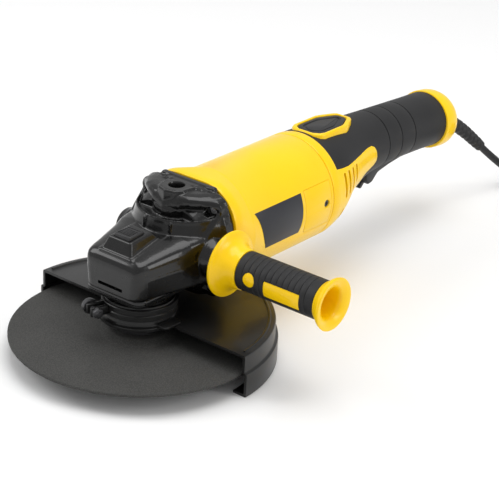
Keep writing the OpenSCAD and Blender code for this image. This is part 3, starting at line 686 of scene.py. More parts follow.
def nose_ring(y):
    """A section of the nose: flat below, upright sides to the crease, then a crown."""
    half, top, crease = (through(t, y) for t in (nose_half, nose_top, nose_crease))
    power = through(nose_square, y)
    left = []
    for i in range(17):
        angle = pi / 2 * i / 16
        x = half * (1 - 0.012) * cos(angle) ** (2 / power)
        left.append((x, y, crease + (top - crease) * sin(angle) ** (2 / power)))
    half_ring = [(half * 0.5, y, cover_top), (half - 3, y, cover_top), (half - 1.8, y, cover_top + 1.4),
                 (half, y, crease - 1.2), (half - 0.15, y, crease - 0.3)] + left[:-1]
    return half_ring + [left[-1]] + [(-x, y, z) for x, y, z in reversed(half_ring)]


nose_places = (-38, -37.8, -37.4, -36.8, -36, -34.6, -33, -30, -26, -20, -12, -4, 4, 9, 18, 27, 36, 44, 56)
nose = skin_over([nose_ring(y) for y in nose_places])
step_outline = [
    (60, 45), (88, 46.4), (95, 46), (99, 44.6), (104, 43.2), (107.3, 42.7), (108.2, 42.4), (108.5, 41.9),
    (108.2, 41.3), (107.2, 41.1), (104.5, 40.6), (103.8, 39),
]
step = turned("z", (0, head_y, 0), step_outline, 128)
rib_bars = [
    spun(slab(-0.9, 0.9, head_y - 46.4, head_y - 40, 97, 106.4, 0.5), turn, "Z", (0, head_y, 0))
    for turn in (-9, 26)
]


def squared_ring(y, half_x, low, high, corner, count=10):
    """A rounded rectangle square to the motor axis."""
    ring = []
    middle_z = (low + high) / 2
    half_z = (high - low) / 2
    for sx, sz, start in ((1, 1, 0), (-1, 1, 90), (-1, -1, 180), (1, -1, 270)):
        for i in range(count + 1):
            angle = radians(start + 90 * i / count)
            x = sx * (half_x - corner) + corner * cos(angle)
            z = middle_z + sz * (half_z - corner) + corner * sin(angle)
            ring.append((x, y, z))
    return ring


flange_half = 51.4
flange_block = skin_over([
    squared_ring(y, half, motor_z - half + lift, 128.1 - (flange_half - half) * 2.2, corner)
    for y, half, lift, corner in (
        (34, 44, 8, 30), (44, 47, 4, 33), (50, 49, 1.6, 36), (52, 50.8, 0.4, 37.6), (53, flange_half, 0, 38),
        (63.4, flange_half, 0, 38), (64, 51, 0, 37.6)
    )
])
cheek_front = [(76, 22), (84, 29), (97, 37), (105, 44), (113, 51), (118, 54)]
cheeks = []
for side in (-1, 1):
    rings = []
    for z in (76, 80, 84, 90, 97, 101, 105, 109, 113, 116, 119):
        y0 = through(cheek_front, z)
        lean = max(0, z - 100) * 0.06 + max(0, z - 109) * 0.16
        rings.append([
            (side * x, y, z) for x, y in (
                (40, y0 + 2.4), (41, y0 + 0.6), (43.8 - lean, y0), (44.8 - lean, y0 + 1),
                (47.6 - lean, min(y0 + 10, 55)), (50 - lean * 1.6, 60), (39, 60), (39, y0 + 8)
            )
        ])
    cheeks.append(skin_over(rings))
# Each slice lists half of the visor's front line, from its outer corner to the middle.
visor_slices = [
    (102.6, ((16, 58), (16, 50), (16, 42), (15, 34), (8, 28.6), (0, 27))),
    (104.6, ((17.4, 58), (17, 50), (17, 42), (16, 32.4), (8.6, 27.2), (0, 25.4))),
    (108, ((18, 58), (17.4, 50), (17, 41), (16, 31.4), (9, 26.8), (0, 25.2))),
    (111.6, ((20, 60), (18.6, 52), (17.4, 41), (16.4, 31.2), (9.6, 27.4), (0, 26))),
    (113, ((44, 60), (43.4, 53), (33, 49.6), (21, 40), (13.6, 29.8), (0, 26.4))),
    (115, ((46.2, 60), (44.6, 51.6), (35.6, 46), (23.6, 37), (14.4, 29.4), (0, 26.8))),
    (118, ((46.4, 60), (43.6, 50.8), (35.4, 42.6), (24.8, 34.6), (15, 29.8), (0, 27.8))),
    (121, ((44.6, 60), (41, 50), (32.4, 39.8), (23.4, 33.8), (14.4, 30.6), (0, 29.2))),
    (123.6, ((41, 60), (37.4, 50), (29.8, 39.8), (21.4, 34.4), (13.4, 32), (0, 31))),
    (125.2, ((36.4, 60), (33.4, 51), (26.6, 41.6), (19, 37), (12.4, 35), (0, 34.4))),
    (126, ((31, 60), (28.4, 52), (23, 45), (16.6, 41), (10.6, 39), (0, 38.6))),
]
visor = skin_over([
    [(x, y, z) for x, y in front] + [(-x, y, z) for x, y in reversed(front[:-1])]
    + [(-front[0][0] * 0.6, 63, z), (front[0][0] * 0.6, 63, z)]
    for z, front in visor_slices
])
drum = skin_over([
    [(37.6 * s * cos(a), 56 + 22.5 * s * sin(a), z) for a in (radians(182 + 8 * i) for i in range(23))]
    for z, s in ((100, 1.03), (108, 1), (114, 0.97), (119, 0.9))
])
flange_bar = rounded(skin_over([
    [(33.4, y, 121), (30, y, 128.8), (-30, y, 128.8), (-33.4, y, 121)] for y in (58.4, 64)
]), 0.7, 2)
lock_boss = rounded(skin_over([
    [(19.8, 20, 80), (19.8, -34, 80), (-19.8, -34, 80), (-19.8, 20, 80)],
    [(12.6, 0.6, 101), (12.6, -26.4, 98.8), (-12.6, -26.4, 98.8), (-12.6, 0.6, 101)],
]), 1.1, 3)
fillet_bar = rounded(skin_over([
    [(19.4, 14, back), (19.4, -33, front), (-19.4, -33, front), (-19.4, 14, back)]
    for back, front in ((86, 76), (96.2, 87.2))
]), 0.8, 2)
top_boss = turned("z", (0, top_hole_y, 0), [(110, 15), (127.4, 13.6), (128, 13)], 64)
rim_points = [
    (14.5, 63), (14.6, 56), (14.4, 48), (12.8, 38), (8.4, 31.8), (0, 29.2), (-8.4, 31.8), (-12.8, 38),
    (-14.4, 48), (-14.6, 56), (-14.5, 63),
]
horseshoe = skin_over([
    [(x * s, 45 + (y - 45) * s, z) for s, z in (
        (1.09, 119), (1.08, 127.2), (1.03, 128.3), (0.97, 128.3), (0.93, 127), (0.92, 119)
    )] for x, y in rim_points
])
boss_outline = [(30, 18), (47.6, 17.6), (51, 16), (55.2, 15), (56, 14.4)]
side_bosses = [
    turned("x", (0, side_hole_y, side_hole_z), [(side * along, radius) for along, radius in boss_outline], 64)
    for side in (-1, 1)
]
corner_lugs = [
    turned("y", (sx * 37.6, 0, motor_z + sz * 37.6), [(50.4, 7.6), (51, 8.4), (60, 8.6)], 40)
    for sx in (-1, 1) for sz in (-1, 1)
]
gear_head = joined(
    [nose, step] + rib_bars + [flange_block] + cheeks
    + [visor, drum, flange_bar, lock_boss, fillet_bar, top_boss, horseshoe] + side_bosses + corner_lugs
)
gear_head = modified(gear_head, "REMESH", mode="VOXEL", voxel_size=0.9 * MM)
gear_head = modified(gear_head, "SMOOTH", factor=0.5, iterations=2)
cutters = [
    turned("z", (0, top_hole_y, 0), [(112, 7), (126.8, 7), (129, 8.2)], 48),
    slab(-14, 14, -40, -34, 57.2, 60.2, 0.9),
    slab(-9.3, 9.3, -24.6, -5.4, 90, 106),
]
for side in (-1, 1):
    hole_outline = [(side * 38, 7), (side * 55, 7), (side * 57, 8.4)]
    cutters.append(turned("x", (0, side_hole_y, side_hole_z), hole_outline, 48))
    for up in (-1, 1):
        screw_at = (side * screw_offset, 0, motor_z + up * screw_offset)
        cutters.append(turned("y", screw_at, [(40, 4.8), (56.2, 4.8)], 32))
for cutter in cutters:
    booled(gear_head, cutter)
active(gear_head)
bpy.ops.object.shade_smooth_by_angle(angle=radians(50))


def gloss_black():
    """Thick gloss black spray over a casting: deep, slightly wavy, a few fine specks."""
    material, shader, place = finish_named("gloss_black", Specular_IOR_Level=0.3, Coat_Roughness=0.05)
    waves = place.noise(5, 2)
    feed(
        shader,
        Base_Color=place.noise(20, 3).between((0.002, 0.002, 0.002, 1), (0.005, 0.005, 0.005, 1)),
        Roughness=0.22 + 0.08 * waves,
        Coat_Weight=0.25 + 0.15 * waves,
        Normal=(waves + 0.25 * place.noise(0.8, 2)).bump(0.06, 0.35),
    )
    return material


casting_black = gloss_black()
settle(gear_head, "gear_head", "root", casting_black, ["gear_case"])

# ---------- bearing cover ----------
# Cast plate under the nose, held by four cap screws; its round neck carries the guard's collar.
def plate_ring(z, half_x, y0, y1, corner, count=8):
    ring = []
    for x, y, start in (
        (half_x - corner, y1 - corner, 0), (corner - half_x, y1 - corner, 90),
        (corner - half_x, y0 + corner, 180), (half_x - corner, y0 + corner, 270)
    ):
        for i in range(count + 1):
            angle = radians(start + 90 * i / count)
            ring.append((x + corner * cos(angle), y + corner * sin(angle), z))
    return ring


cover_plate = skin_over([
    plate_ring(z, 32.5 - d, -36 + d, 38 - d, 9) for z, d in (
        (45, 1), (45.3, 0.3), (46, 0), (48.2, 0), (48.5, 0.5), (48.9, 0.5), (49.2, 0), (51.2, 0), (51.8, 0.4)
    )
])
neck_outline = [
    (17.2, 13.2), (17.2, 29), (17.6, 29.5), (38.8, 29.5), (39.2, 28.8), (41.6, 28.8), (42, 29.5),
    (45.4, 31.5), (45.4, 13.2),
]
neck = turned("z", (0, 0, 0), neck_outline, 96, closed=True)
for x in (-24.5, 24.5):
    for y in (-26, 30):
        booled(cover_plate, turned("z", (x, y, 0), [(44, 4.3), (47.2, 4.3)], 32))
bearing_cover = smooth(joined([cover_plate, neck]), 35)
settle(bearing_cover, "neck_cover", "root", casting_black, ["bearing_cover"])


def cap_screw(centre, axis, way, radius, height, drive="socket"):
    """A screw head with a recess for its driver, standing from a point the way it faces."""
    outline = [
        (0, radius * 0.9), (way * 0.1, radius), (way * (height - 0.5), radius), (way * height, radius - 0.5)
    ]
    head = turned(axis, centre, outline, 32)
    where = list(centre)
    index = "xyz".index(axis)
    where[index] += way * (height - 1.6)
    if drive == "socket":
        booled(head, turned(axis, where, [(0, radius * 0.52), (way * 3, radius * 0.52)], 6))
    else:
        for first, second in ((0.55, 0.14), (0.14, 0.55)):
            low, high = list(where), list(where)
            spans = iter((first * radius, second * radius))
            for k in range(3):
                if k == index:
                    low[k], high[k] = min(0, way * 3) + where[k], max(0, way * 3) + where[k]
                else:
                    span = next(spans)
                    low[k], high[k] = low[k] - span, high[k] + span
            booled(head, slab(low[0], high[0], low[1], high[1], low[2], high[2]))
    return smooth(head, 30)


cover_screws = joined([
    cap_screw((x, y, 46.9), "z", -1, 4, 3.4) for x in (-24.5, 24.5) for y in (-26, 30)
])
settle(cover_screws, "neck_cover_screws", "root", zinc, ["bearing_cover_screws"])
case_screws = joined([
    cap_screw((sx * screw_offset, head_y, motor_z + sz * screw_offset), "y", -1, 4.5, 3.8, "cross")
    for sx in (-1, 1) for sz in (-1, 1)
])
settle(case_screws, "head_screws", "root", zinc, ["gear_case_screws"])

# ---------- spindle lock button ----------
# Moulded black plastic pad in the top of its boss, with a raised edge; it is pushed down onto its spring.
lock_pad = slab(-9, 9, -24.3, -5.7, 92, 102.2, 1.2)
booled(lock_pad, slab(-7.2, 7.2, -22.5, -7.5, 101.6, 104, 0.3))
ridges = [slab(-6, 6, y - 0.5, y + 0.5, 101.2, 102.1, 0.3) for y in (-19.5, -17.25, -15, -12.75, -10.5)]
lock_button = smooth(joined([lock_pad] + ridges), 35)


def moulded_black():
    """Black glass-filled nylon: even, softly shiny, with a fine spark-eroded grain."""
    material, shader, place = finish_named("moulded_black", Specular_IOR_Level=0.5)
    grain = place.noise(0.5, 2)
    feed(
        shader,
        Base_Color=place.noise(18, 3).between((0.007, 0.007, 0.008, 1), (0.014, 0.014, 0.015, 1)),
        Roughness=0.36 + 0.12 * grain,
        Normal=grain.bump(0.05, 0.5),
    )
    return material


nylon = moulded_black()
settle(lock_button, "lock_button", "spindle_lock", nylon, ["spindle_lock_button"])


# ---------- motor housing ----------
# One-piece moulding in yellow glass-filled nylon: a rounded square flange at the front that runs into a
# round body, with a rear wall for the armature's bearing, windows for the brushes and a recess for a badge.


def motor_ring(y, half, corner):
    return squared_ring(y, half, motor_z - half, motor_z + half, corner, 24)


housing_sections = [
    (64, 52.7, 38), (64.3, 53.1, 38.4), (64.8, 53.3, 38.6), (72.4, 53.3, 38.6), (75, 53.2, 39.6),
    (78, 53.1, 42), (82, 53, 45), (86, 52.9, 48.4), (89, 52.8, 51), (91.4, 52.8, 52.8),
    (93, 52.7, 52.7), (93.6, 52.2, 52.2),
    (94, 52, 52), (150, 52, 52), (208.6, 52, 52), (209.5, 51.8, 51.8), (210, 51.3, 51.3), (210, 11.2, 11.2),
    (198.5, 11.2, 11.2), (197.2, 12, 12), (197, 46.8, 46.8), (166, 46.8, 46.8), (165, 45.7, 45.7),
    (90, 45.7, 45.7), (89, 46, 46), (64, 46, 38),
]
housing = skin_over([motor_ring(*section) for section in housing_sections], closed=True)


def side_prism(outline, x0, x1):
    """An outline of (y, z) points drawn out across the machine."""
    return skin_over([[(x, y, z) for y, z in outline] for x in (x0, x1)])


def beside(side, near, far):
    """The two distances in rising order, on the left for side -1 and on the right for side 1."""
    return min(side * near, side * far), max(side * near, side * far)


def grown(outline, by):
    """The same outline moved out from its middle by that much."""
    middle_y = sum(y for y, z in outline) / len(outline)
    middle_z = sum(z for y, z in outline) / len(outline)
    return [(y + by * (1 if y > middle_y else -1), z + by * (1 if z > middle_z else -1)) for y, z in outline]


badge_outline = [
    (96.4, 98.7), (99.3, 93), (102.3, 85), (105.2, 76), (108.2, 68), (111, 61.3), (159.2, 61.3), (161, 67),
    (162.2, 75), (162.8, 84), (162.9, 98.7),
]
window_outline = [
    (167.6, 99.2), (167.3, 90), (167.3, 66), (168.2, 60.6), (170.6, 57.4), (176, 56.9), (205.2, 56.9),
    (205.7, 57.4), (205.7, 98.8), (205.2, 99.3),
]
for side in (-1, 1):
    booled(housing, side_prism(grown(badge_outline, 0.25), *beside(side, 50.9, 58)))
    booled(housing, side_prism(grown(window_outline, 0.35), *beside(side, 40, 58)))
housing = smooth(rounded(housing, 0.3, 2, 30), 35)


def yellow_nylon():
    """Bright yellow nylon, glossy from the tool, with a faint grain and slight flow marks."""
    material, shader, place = finish_named(
        "yellow_nylon", Specular_IOR_Level=0.3, Coat_Roughness=0.12
    )
    flow = place.noise(35, 3)
    grain = place.noise(0.6, 2)
    feed(
        shader,
        Base_Color=flow.between((0.95, 0.58, 0.0, 1), (1.0, 0.64, 0.001, 1)),
        Roughness=0.24 + 0.1 * grain,
        Coat_Weight=0.1 + 0.08 * flow,
        Normal=grain.bump(0.03, 0.3),
    )
    return material


yellow = yellow_nylon()
settle(housing, "motor_shell", "root", yellow, ["motor_housing"])

# ---------- badges ----------
# Printed metal-look plates, glued flush into a recess on each side; these are left blank.
plate_outline = [(90, 51.0), (90, 52.15), (170, 52.15), (170, 51.0)]
plates = []
for side in (-1, 1):
    plate = turned("y", (0, 0, motor_z), plate_outline, 192, closed=True)
    plates.append(booled(plate, side_prism(badge_outline, *beside(side, 30, 60)), "INTERSECT"))
badges = smooth(rounded(joined(plates), 0.2, 2, 40), 30)


def satin_print():
    """Dark blue-black printed film with a fine satin tooth."""
    material, shader, place = finish_named("satin_print", Specular_IOR_Level=0.45)
    tooth = place.noise(0.4, 2)
    feed(
        shader,
        Base_Color=place.noise(25, 2).between((0.008, 0.009, 0.014, 1), (0.014, 0.015, 0.021, 1)),
        Roughness=0.34 + 0.12 * tooth,
        Normal=tooth.bump(0.02, 0.4),
    )
    return material


settle(badges, "blank_badges", "root", satin_print(), ["side_plates"])

# ---------- brush covers ----------
# Curved hatches in the same yellow nylon over the carbon brushes, each held by one sunk screw at the back.
hatch_outline = [(160, 48.6), (160, 52.05), (212, 52.05), (212, 48.6)]
hatches = []
for side in (-1, 1):
    hatch = turned("y", (0, 0, motor_z), hatch_outline, 192, closed=True)
    booled(hatch, side_prism(window_outline, *beside(side, 30, 60)), "INTERSECT")
    booled(hatch, turned("x", (0, 199, 78.7), [(side * 40, 3.6), (side * 51.2, 3.6), (side * 53, 4.6)], 40))
    hatches.append(hatch)
brush_covers = smooth(rounded(joined(hatches), 0.3, 2, 40), 35)
settle(brush_covers, "brush_hatches", "root", yellow, ["brush_covers"])
hatch_screws = joined([cap_screw((s * 49.6, 199, 78.7), "x", s, 3.4, 1.4, "cross") for s in (-1, 1)])
settle(hatch_screws, "hatch_screws", "root", blackened, ["brush_cover_screws"])

# ---------- rear handle shells ----------
# Two yellow nylon halves, screwed together, that clip over the swivel ring. A ring at the front meets the
# motor housing, the sides are slotted for air, and the back is the core of the grip.
handle_line = [
    (222, 76.7, 51.4), (228, 77.1, 50.9), (235, 78.1, 49.8), (242, 79.7, 48.2), (250, 82.3, 45.4),
    (258, 84.9, 42.4), (266, 86.8, 39.9), (275, 88.2, 37.7), (286, 89.6, 35), (298, 90.8, 33),
    (312, 91.6, 31.4), (330, 91.8, 30.2), (350, 91.4, 29.4), (380, 90.2, 28.8), (410, 88.6, 28.6),
    (435.1, 87, 29),
]
soft_wall = 2.6
air_slots = [
    (232.5, 73.5, 98), (241, 74.5, 98), (250.4, 76.2, 97.6), (260, 79.6, 97.8),
    (233, 50, 62), (242, 52, 63), (251, 54, 64),
]


def handle_rings(inset, ahead=0.0, behind=0.0):
    rings = []
    for i, (y, z, r) in enumerate(handle_line):
        if i == 0:
            y -= ahead
        if i == len(handle_line) - 1:
            y += behind
        rings.append(ring_on("y", (0, y, z), r - inset, 96))
    return rings


front_ring = [
    ring_on("y", (0, y, motor_z), r, 96)
    for y, r in ((210.5, 51.2), (210.8, 51.7), (211.6, 52), (220.6, 52), (221.5, 51.8))
]
grip_outline = [
    (222.2, 103.4), (232, 102.2), (243, 101.4), (255, 101.3), (266, 101.6), (274, 102.2), (282, 102.9),
    (290, 103.4), (297, 103), (302, 100.6), (305, 96), (306.6, 90), (306.4, 85), (303, 81.6), (297, 79.8),
    (290, 78.4), (283, 74.4), (276, 68), (270, 58), (264, 40), (437, 40), (437, 140), (222.2, 140),
]
cover_skin = skin_over(handle_rings(0, 0, 0) + list(reversed(handle_rings(soft_wall, 0, 0))), closed=True)
soft_cover = booled(cover_skin, side_prism(grip_outline, -70, 70), "INTERSECT")


def handle_shell(side):
    """One half, with the rebate for the soft cover and its openings."""
    outside = front_ring + handle_rings(0)[1:]
    inside = [
        ring_on("y", (0, y, z), r, 96)
        for y, z, r in (
            (435.1, 87, 22.6), (410, 88.6, 23.8), (330, 91.8, 25.2), (298, 90.8, 28.4), (266, 86.8, 35),
            (250, 82.3, 40.4), (235, 78.1, 44.8), (223, 76.7, 45), (222, 76.7, 45.4), (210.5, 76.7, 45.4)
        )
    ]
    shell = skin_over(outside + inside, closed=True)
    booled(shell, slab(*beside(side, 0.12, 70), 190, 450, 0, 160), "INTERSECT")
    rebate = skin_over(handle_rings(-3, 0, 3) + list(reversed(handle_rings(soft_wall, 0, 3))), closed=True)
    booled(rebate, side_prism(grown(grip_outline, 0.15), -70, 70), "INTERSECT")
    booled(shell, rebate)
    booled(shell, slab(-10.6, 10.6, 319, 393, 40, 80))
    booled(shell, slab(-15.8, 15.8, 229, 287, 100, 140))
    for y, low, high in air_slots:
        booled(shell, slab(*beside(side, 26, 62), y - 1.6, y + 1.6, low, high, 1.5))
    return shell


for side, name in ((-1, "left"), (1, "right")):
    half = handle_shell(side)
    smooth(rounded(half, 0.3, 2, 38), 35)
    settle(half, "rear_shell_" + name, "rear_handle", yellow, ["handle_shell_" + name])

# ---------- soft grip cover ----------
# Black thermoplastic rubber moulded over the top of the shells and right round the grip, with three fine
# grooves across it and a rectangular seat for the release button.
for y, z, r in ((331, 91.8, 30.2), (354.5, 91.3, 29.3), (379, 90.2, 28.8)):
    groove = [(-0.45, r - 1), (0.45, r - 1), (0.9, r + 2), (-0.9, r + 2)]
    booled(soft_cover, turned("y", (0, y, z), groove, 96, closed=True))
booled(soft_cover, slab(-10.4, 10.4, 320, 392, 40, 80))


def release_outline(half, grow=0.0):
    """The button's six-sided outline, longer towards the grip."""
    y0, y1 = 226 + grow, 290 - grow
    half -= grow
    return [
        (-half + 8, y0), (half - 8, y0), (half - 2, y0 + 4), (half, y0 + 9), (half, y1 - 21),
        (half - 1.6, y1 - 16), (half - 8.4, y1 - 2), (half - 11, y1),
        (-half + 11, y1), (-half + 8.4, y1 - 2), (-half + 1.6, y1 - 16),
        (-half, y1 - 21), (-half, y0 + 9), (-half + 2, y0 + 4),
    ]


def flat_prism(outline, levels):
    """An outline of (x, y) points drawn up through (height, shrink) levels."""
    middle = sum(y for x, y in outline) / len(outline)
    rings = []
    for z, shrink in levels:
        rings.append([
            (x - shrink * (1 if x > 0 else -1), y - shrink * (1 if y > middle else -1), z) for x, y in outline
        ])
    return skin_over(rings)


booled(soft_cover, flat_prism(release_outline(19.3), [(112, 0), (140, 0)]))
soft_cover = smooth(rounded(soft_cover, 0.45, 3, 38), 40)


def soft_rubber():
    """Warm black rubber, matt, with a fine leathery grain and a slight bloom."""
    material, shader, place = finish_named("soft_rubber", Specular_IOR_Level=0.35)
    grain = place.node("ShaderNodeTexVoronoi", {"feature": "SMOOTH_F1"}, {"Vector": place, "Scale": 1400.0})
    bloom = place.noise(22, 4)
    feed(
        shader,
        Base_Color=bloom.between((0.008, 0.008, 0.009, 1), (0.018, 0.018, 0.019, 1)),
        Roughness=0.46 + 0.14 * bloom,
        Normal=grain.bump(0.08, 0.35),
    )
    return material


rubber = soft_rubber()
settle(soft_cover, "soft_cover", "rear_handle", rubber, ["handle_cover"])

# ---------- tail cap ----------
# Yellow nylon cap that closes the grip, with a step, a rolled rim and a sleeve for the strain relief.
cap_rings = [
    ring_on("y", (0, y, z), r, 96) for y, z, r in (
        (435.2, 86.4, 25), (435.2, 86.4, 30), (435.6, 86.3, 30.7), (437, 86.1, 31.1), (447, 84.9, 31.1),
        (452, 84.3, 30.4), (456, 83.8, 29), (459.4, 83.3, 27), (461.8, 83, 24.8), (463.2, 82.7, 22.6),
        (463.5, 82.6, 21), (463.2, 82.2, 19.6), (461.4, 81.4, 17.6), (459.6, 79.4, 14), (460.5, 77, 11.6),
        (460.8, 76.7, 9.4), (452, 76.7, 9.2), (451, 79, 14), (450, 82, 25),
    )
]
tail_cap = smooth(skin_over(cap_rings, closed=True), 35)
settle(tail_cap, "end_cap", "rear_handle", yellow, ["tail_cap"])

# ---------- handle release ----------
# Yellow frame clipped into the cover round a black button; pressing the button frees the swivel ring.
frame_block = flat_prism(release_outline(19), [(114, 0), (127.8, 0), (128.7, 0.5), (129, 1.4)])
booled(frame_block, flat_prism(release_outline(19, 3.2), [(100, 0), (128.4, 0), (130, -0.7)]))
release_frame = smooth(rounded(frame_block, 0.3, 2, 50), 40)
settle(release_frame, "button_frame", "rear_handle", yellow, ["release_frame"])
button = flat_prism(release_outline(19, 3.6), [(120.4, 0), (127.2, 0), (128.2, 0.4), (128.6, 1.2)])
booled(button, flat_prism(release_outline(19, 7), [(127.7, 0.6), (129, 0)]))
pad = flat_prism(release_outline(19, 9), [(127, 0), (128.1, 0.2), (128.4, 0.8)])
latch = slab(-3.8, 3.8, 220, 236, 112.6, 115.6, 0.4)
stem = slab(-3.8, 3.8, 229.6, 236, 113, 121, 0.3)
release_button = smooth(joined([button, pad, latch, stem]), 40)
settle(release_button, "release_pad", "release_button", nylon, ["release_button"])

# ---------- trigger and lock-off lever ----------
# Long two-finger paddle in black nylon, with a sprung lever in its front end that has to be pushed first.


def arc_smoothed(outline, reach=2.2, steps=4):
    """Rounds the corners of an outline of (y, z) points."""
    result = []
    for i, here in enumerate(outline):
        before, after = Vector(outline[i - 1]), Vector(outline[(i + 1) % len(outline)])
        corner = Vector(here)
        a = corner + (before - corner).normalized() * min(reach, (before - corner).length * 0.45)
        b = corner + (after - corner).normalized() * min(reach, (after - corner).length * 0.45)
        for k in range(steps + 1):
            t = k / steps
            result.append(tuple((1 - t) ** 2 * a + 2 * t * (1 - t) * corner + t * t * b))
    return result


paddle_outline = arc_smoothed([
    (326, 72), (325, 52), (329, 46), (336, 47), (345, 55), (365, 58.5), (385, 60.5), (388, 64), (388, 69),
    (380, 71), (340, 72),
])
paddle = rounded(side_prism(paddle_outline, -9, 9), 1.6, 3, 50)
booled(paddle, slab(-3.4, 3.4, 318, 350, 30, 66))
for y in (350, 356, 362, 368):
    booled(paddle, slab(-7, 7, y - 0.6, y + 0.6, 52, 57.2 + (y - 350) * 0.13, 0.3))
trigger_pins = [
    turned("x", (0, 384, 66), [(-12.3, 2.2), (-12, 2.5), (12, 2.5), (12.3, 2.2)], 32),
    turned("x", (0, 336, 57), [(-8, 1.45), (8, 1.45)], 24),
]
trigger = smooth(paddle, 35)
settle(trigger, "trigger_paddle", "trigger", nylon, ["trigger"])
trigger_pin = smooth(joined(trigger_pins))
settle(trigger_pin, "trigger_pins", "trigger", zinc)
lever_corners = [(332, 61), (328, 52), (322, 42.5), (325.5, 41), (333, 48), (339, 53), (340, 60)]
lever_outline = arc_smoothed(lever_corners, 1.6)
lever = rounded(side_prism(lever_outline, -3, 3), 0.8, 3, 50)
smooth(lever, 35)
settle(lever, "lock_off_tongue", "lock_off_lever", nylon, ["lock_off_lever"])

# ---------- side handle ----------
# Yellow nylon core with a dished hand stop at one end and an open cup at the other, a black rubber sleeve
# moulded round it that leaves two yellow windows, and a steel stud that screws into the gear head.
core_outline = [
    (56.1, 6.95), (56.1, 14.4), (56.7, 15), (60.4, 15.4), (61.4, 18), (63.2, 27.8), (64.2, 29.4), (65.4, 30),
    (66.6, 29.8), (67.4, 28.9), (68, 27), (69, 24.6), (71.4, 21.8), (75, 19.7), (79.6, 18.5), (83.8, 18.2),
    (84.4, 17.9), (84.5, 13.8), (167, 13.8), (167.1, 17.2), (167.5, 17.6), (168.8, 18.2), (171, 20.2),
    (173.4, 22.2), (175.2, 23.2), (176.6, 23.5), (177.3, 23), (177.5, 22.2), (177, 19.6), (175, 15.4),
    (173.6, 14.2), (170, 13.2), (160, 12), (154, 11), (152.6, 9.6), (152.5, 6.95),
]


def window_block(x0, x1, low, high, near, far, edge):
    """A block in front of the side handle, to cut or fill the long window in its sleeve."""
    return rounded(slab(x0, x1, side_hole_y - far, side_hole_y - near, low, high), edge, 3)


def oval_block(grow):
    """A rod from the front, to cut or fill the oval window."""
    block = turned("y", (0, 0, 0), [(15, 6.1 + grow), (30, 6.1 + grow)], 48)
    block.data.transform(Matrix.Translation((99.4 * MM, 0, 76.2 * MM)) @ Matrix.Diagonal((0.98, 1, 1.04, 1)))
    return block


def sleeve_ring(inner, outer, x0, x1):
    """A short tube round the side handle."""
    outline = [(x0, inner), (x0, outer), (x1, outer), (x1, inner)]
    return turned("x", (0, side_hole_y, side_hole_z), outline, 96, closed=True)


core_rings = [ring_on("x", (x, side_hole_y, side_hole_z), r, 96) for x, r in core_outline]
core_body = skin_over(core_rings, closed=True)
long_window = window_block(115.3, 152.7, 66.3, 80.7, 10, 27, 1)
plate_window = rounded(booled(sleeve_ring(13.9, 17.05, 100, 160), long_window, "INTERSECT"), 0.3, 2, 40)
oval_window = rounded(booled(sleeve_ring(13.9, 17.1, 88, 110), oval_block(0), "INTERSECT"), 0.3, 2, 40)
side_handle_core = smooth(joined([core_body, plate_window, oval_window]), 35)
settle(side_handle_core, "side_core", "root", yellow, ["side_handle_core"])
sleeve_outline = [(84.65, 13.82), (84.65, 16.9), (85.1, 17.35)]
for i in range(12):
    x = 92 + 6 * i
    sleeve_outline += [(x - 0.45, 17.35), (x - 0.15, 16.9), (x + 0.15, 16.9), (x + 0.45, 17.35)]
sleeve_outline += [(166.4, 17.35), (166.9, 16.9), (166.9, 13.82)]
sleeve_rings = [ring_on("x", (x, side_hole_y, side_hole_z), r, 96) for x, r in sleeve_outline]
sleeve = skin_over(sleeve_rings, closed=True)
booled(sleeve, window_block(115, 153, 66, 81, 10, 30, 1.2))
booled(sleeve, oval_block(0.25))
smooth(rounded(sleeve, 0.2, 2, 50), 35)
settle(sleeve, "side_sleeve", "root", rubber, ["side_handle_grip"])
stud_outline = [(38.6, 5.6), (39.4, 6.9)]
for i in range(9):
    x = 40 + 1.9 * i
    stud_outline += [(x, 6.95), (x + 0.5, 6.95), (x + 0.95, 6.1), (x + 1.4, 6.1)]
stud_outline += [(58, 6.9), (88.6, 6.9), (89, 6.5)]
stud = smooth(turned("x", (0, side_hole_y, side_hole_z), stud_outline, 48), 40)
settle(stud, "side_stud", "root", zinc, ["side_handle_stud"])

# ---------- what is inside ----------
# The drive train, motor, brush gear, switch and fixings keep their exact shapes; each gets its own finish.


def ground_steel():
    """Ground and hardened steel with fine turning lines."""
    material, shader, place = finish_named("ground_steel", Metallic=1.0)
    stretched = place.node("ShaderNodeMapping", None, {"Vector": place, "Scale": (400, 400, 4000)})
    lines = place.node("ShaderNodeTexNoise", None, {"Vector": stretched, "Scale": 1.0})
    feed(
        shader,
        Base_Color=place.noise(12, 3).between((0.34, 0.35, 0.36, 1), (0.55, 0.56, 0.57, 1)),
        Roughness=0.22 + 0.2 * lines,
        Normal=lines.bump(0.01, 0.4),
    )
    return material


def enamelled_copper():
    """Windings of enamelled copper wire under varnish."""
    material, shader, place = finish_named("enamelled_copper", Metallic=0.7)
    strands = place.node(
        "ShaderNodeTexWave", {"bands_direction": "Z"}, {"Vector": place, "Scale": 500.0, "Distortion": 2.0}
    )
    feed(
        shader,
        Base_Color=strands.between((0.16, 0.05, 0.015, 1), (0.5, 0.19, 0.07, 1)),
        Roughness=0.32 + 0.1 * place.noise(3),
        Normal=strands.bump(0.25, 0.8),
    )
    return material


def sheet_laminations():
    """Stacked electrical steel, with the edge of each sheet showing."""
    material, shader, place = finish_named("sheet_laminations", Metallic=0.9)
    sheets = place.node("ShaderNodeTexWave", {"bands_direction": "Y"}, {"Vector": place, "Scale": 320.0})
    feed(
        shader,
        Base_Color=sheets.between((0.12, 0.12, 0.13, 1), (0.3, 0.31, 0.32, 1)),
        Roughness=0.4 + 0.15 * place.noise(2),
        Normal=sheets.bump(0.12, 0.6),
    )
    return material


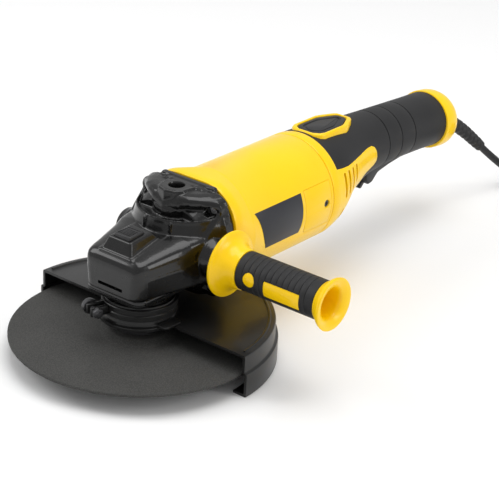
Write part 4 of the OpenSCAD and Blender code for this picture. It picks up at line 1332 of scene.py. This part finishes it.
def plain_brass():
    """Stamped brass, a little tarnished."""
    material, shader, place = finish_named("stamped_brass", Metallic=1.0)
    tarnish = place.noise(5, 4)
    feed(
        shader,
        Base_Color=tarnish.between((0.42, 0.26, 0.07, 1), (0.75, 0.52, 0.2, 1)),
        Roughness=0.26 + 0.2 * tarnish,
    )
    return material


def pressed_carbon():
    """Pressed carbon: dull, dense and slightly sooty."""
    material, shader, place = finish_named("pressed_carbon")
    soot = place.noise(0.8, 4)
    feed(
        shader,
        Base_Color=soot.between((0.012, 0.012, 0.013, 1), (0.045, 0.045, 0.05, 1)),
        Roughness=0.55 + 0.2 * soot,
        Normal=soot.bump(0.05, 0.5),
    )
    return material


def film_case():
    """Ochre plastic case of the interference capacitor."""
    material, shader, place = finish_named("film_case")
    patch = place.noise(4, 3)
    feed(
        shader,
        Base_Color=patch.between((0.5, 0.32, 0.03, 1), (0.62, 0.42, 0.05, 1)),
        Roughness=0.35 + 0.15 * patch,
    )
    return material


def spring_wire():
    """Drawn spring wire, lightly oiled."""
    material, shader, place = finish_named("spring_wire", Metallic=1.0)
    oil = place.noise(2, 3)
    feed(
        shader,
        Base_Color=oil.between((0.2, 0.2, 0.21, 1), (0.42, 0.42, 0.43, 1)),
        Roughness=0.2 + 0.2 * oil,
    )
    return material


inner_finishes = [
    (ground_steel(), [
        "spindle", "crown_gear", "spindle_lower_bearing", "spindle_upper_bearing", "spindle_lock_pin",
        "armature_shaft", "pinion", "armature_front_bearing", "armature_rear_bearing",
    ]),
    (spring_wire(), ["spindle_lock_spring", "brush_springs", "release_spring"]),
    (plain_brass(), ["brush_holders"]),
    (pressed_carbon(), ["carbon_brushes"]),
    (sheet_laminations(), ["stator_core", "armature_core"]),
    (enamelled_copper(), ["stator_coils", "armature_windings", "commutator"]),
    (nylon, ["air_baffle", "cooling_fan", "swivel_ring", "switch", "cord_clamp"]),
    (zinc, ["swivel_ring_screws", "handle_screws"]),
    (film_case(), ["capacitor"]),
    (sheath, ["cord_inner_end"]),
]
for finish, names in inner_finishes:
    for name in names:
        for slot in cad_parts[name].material_slots:
            slot.material = finish
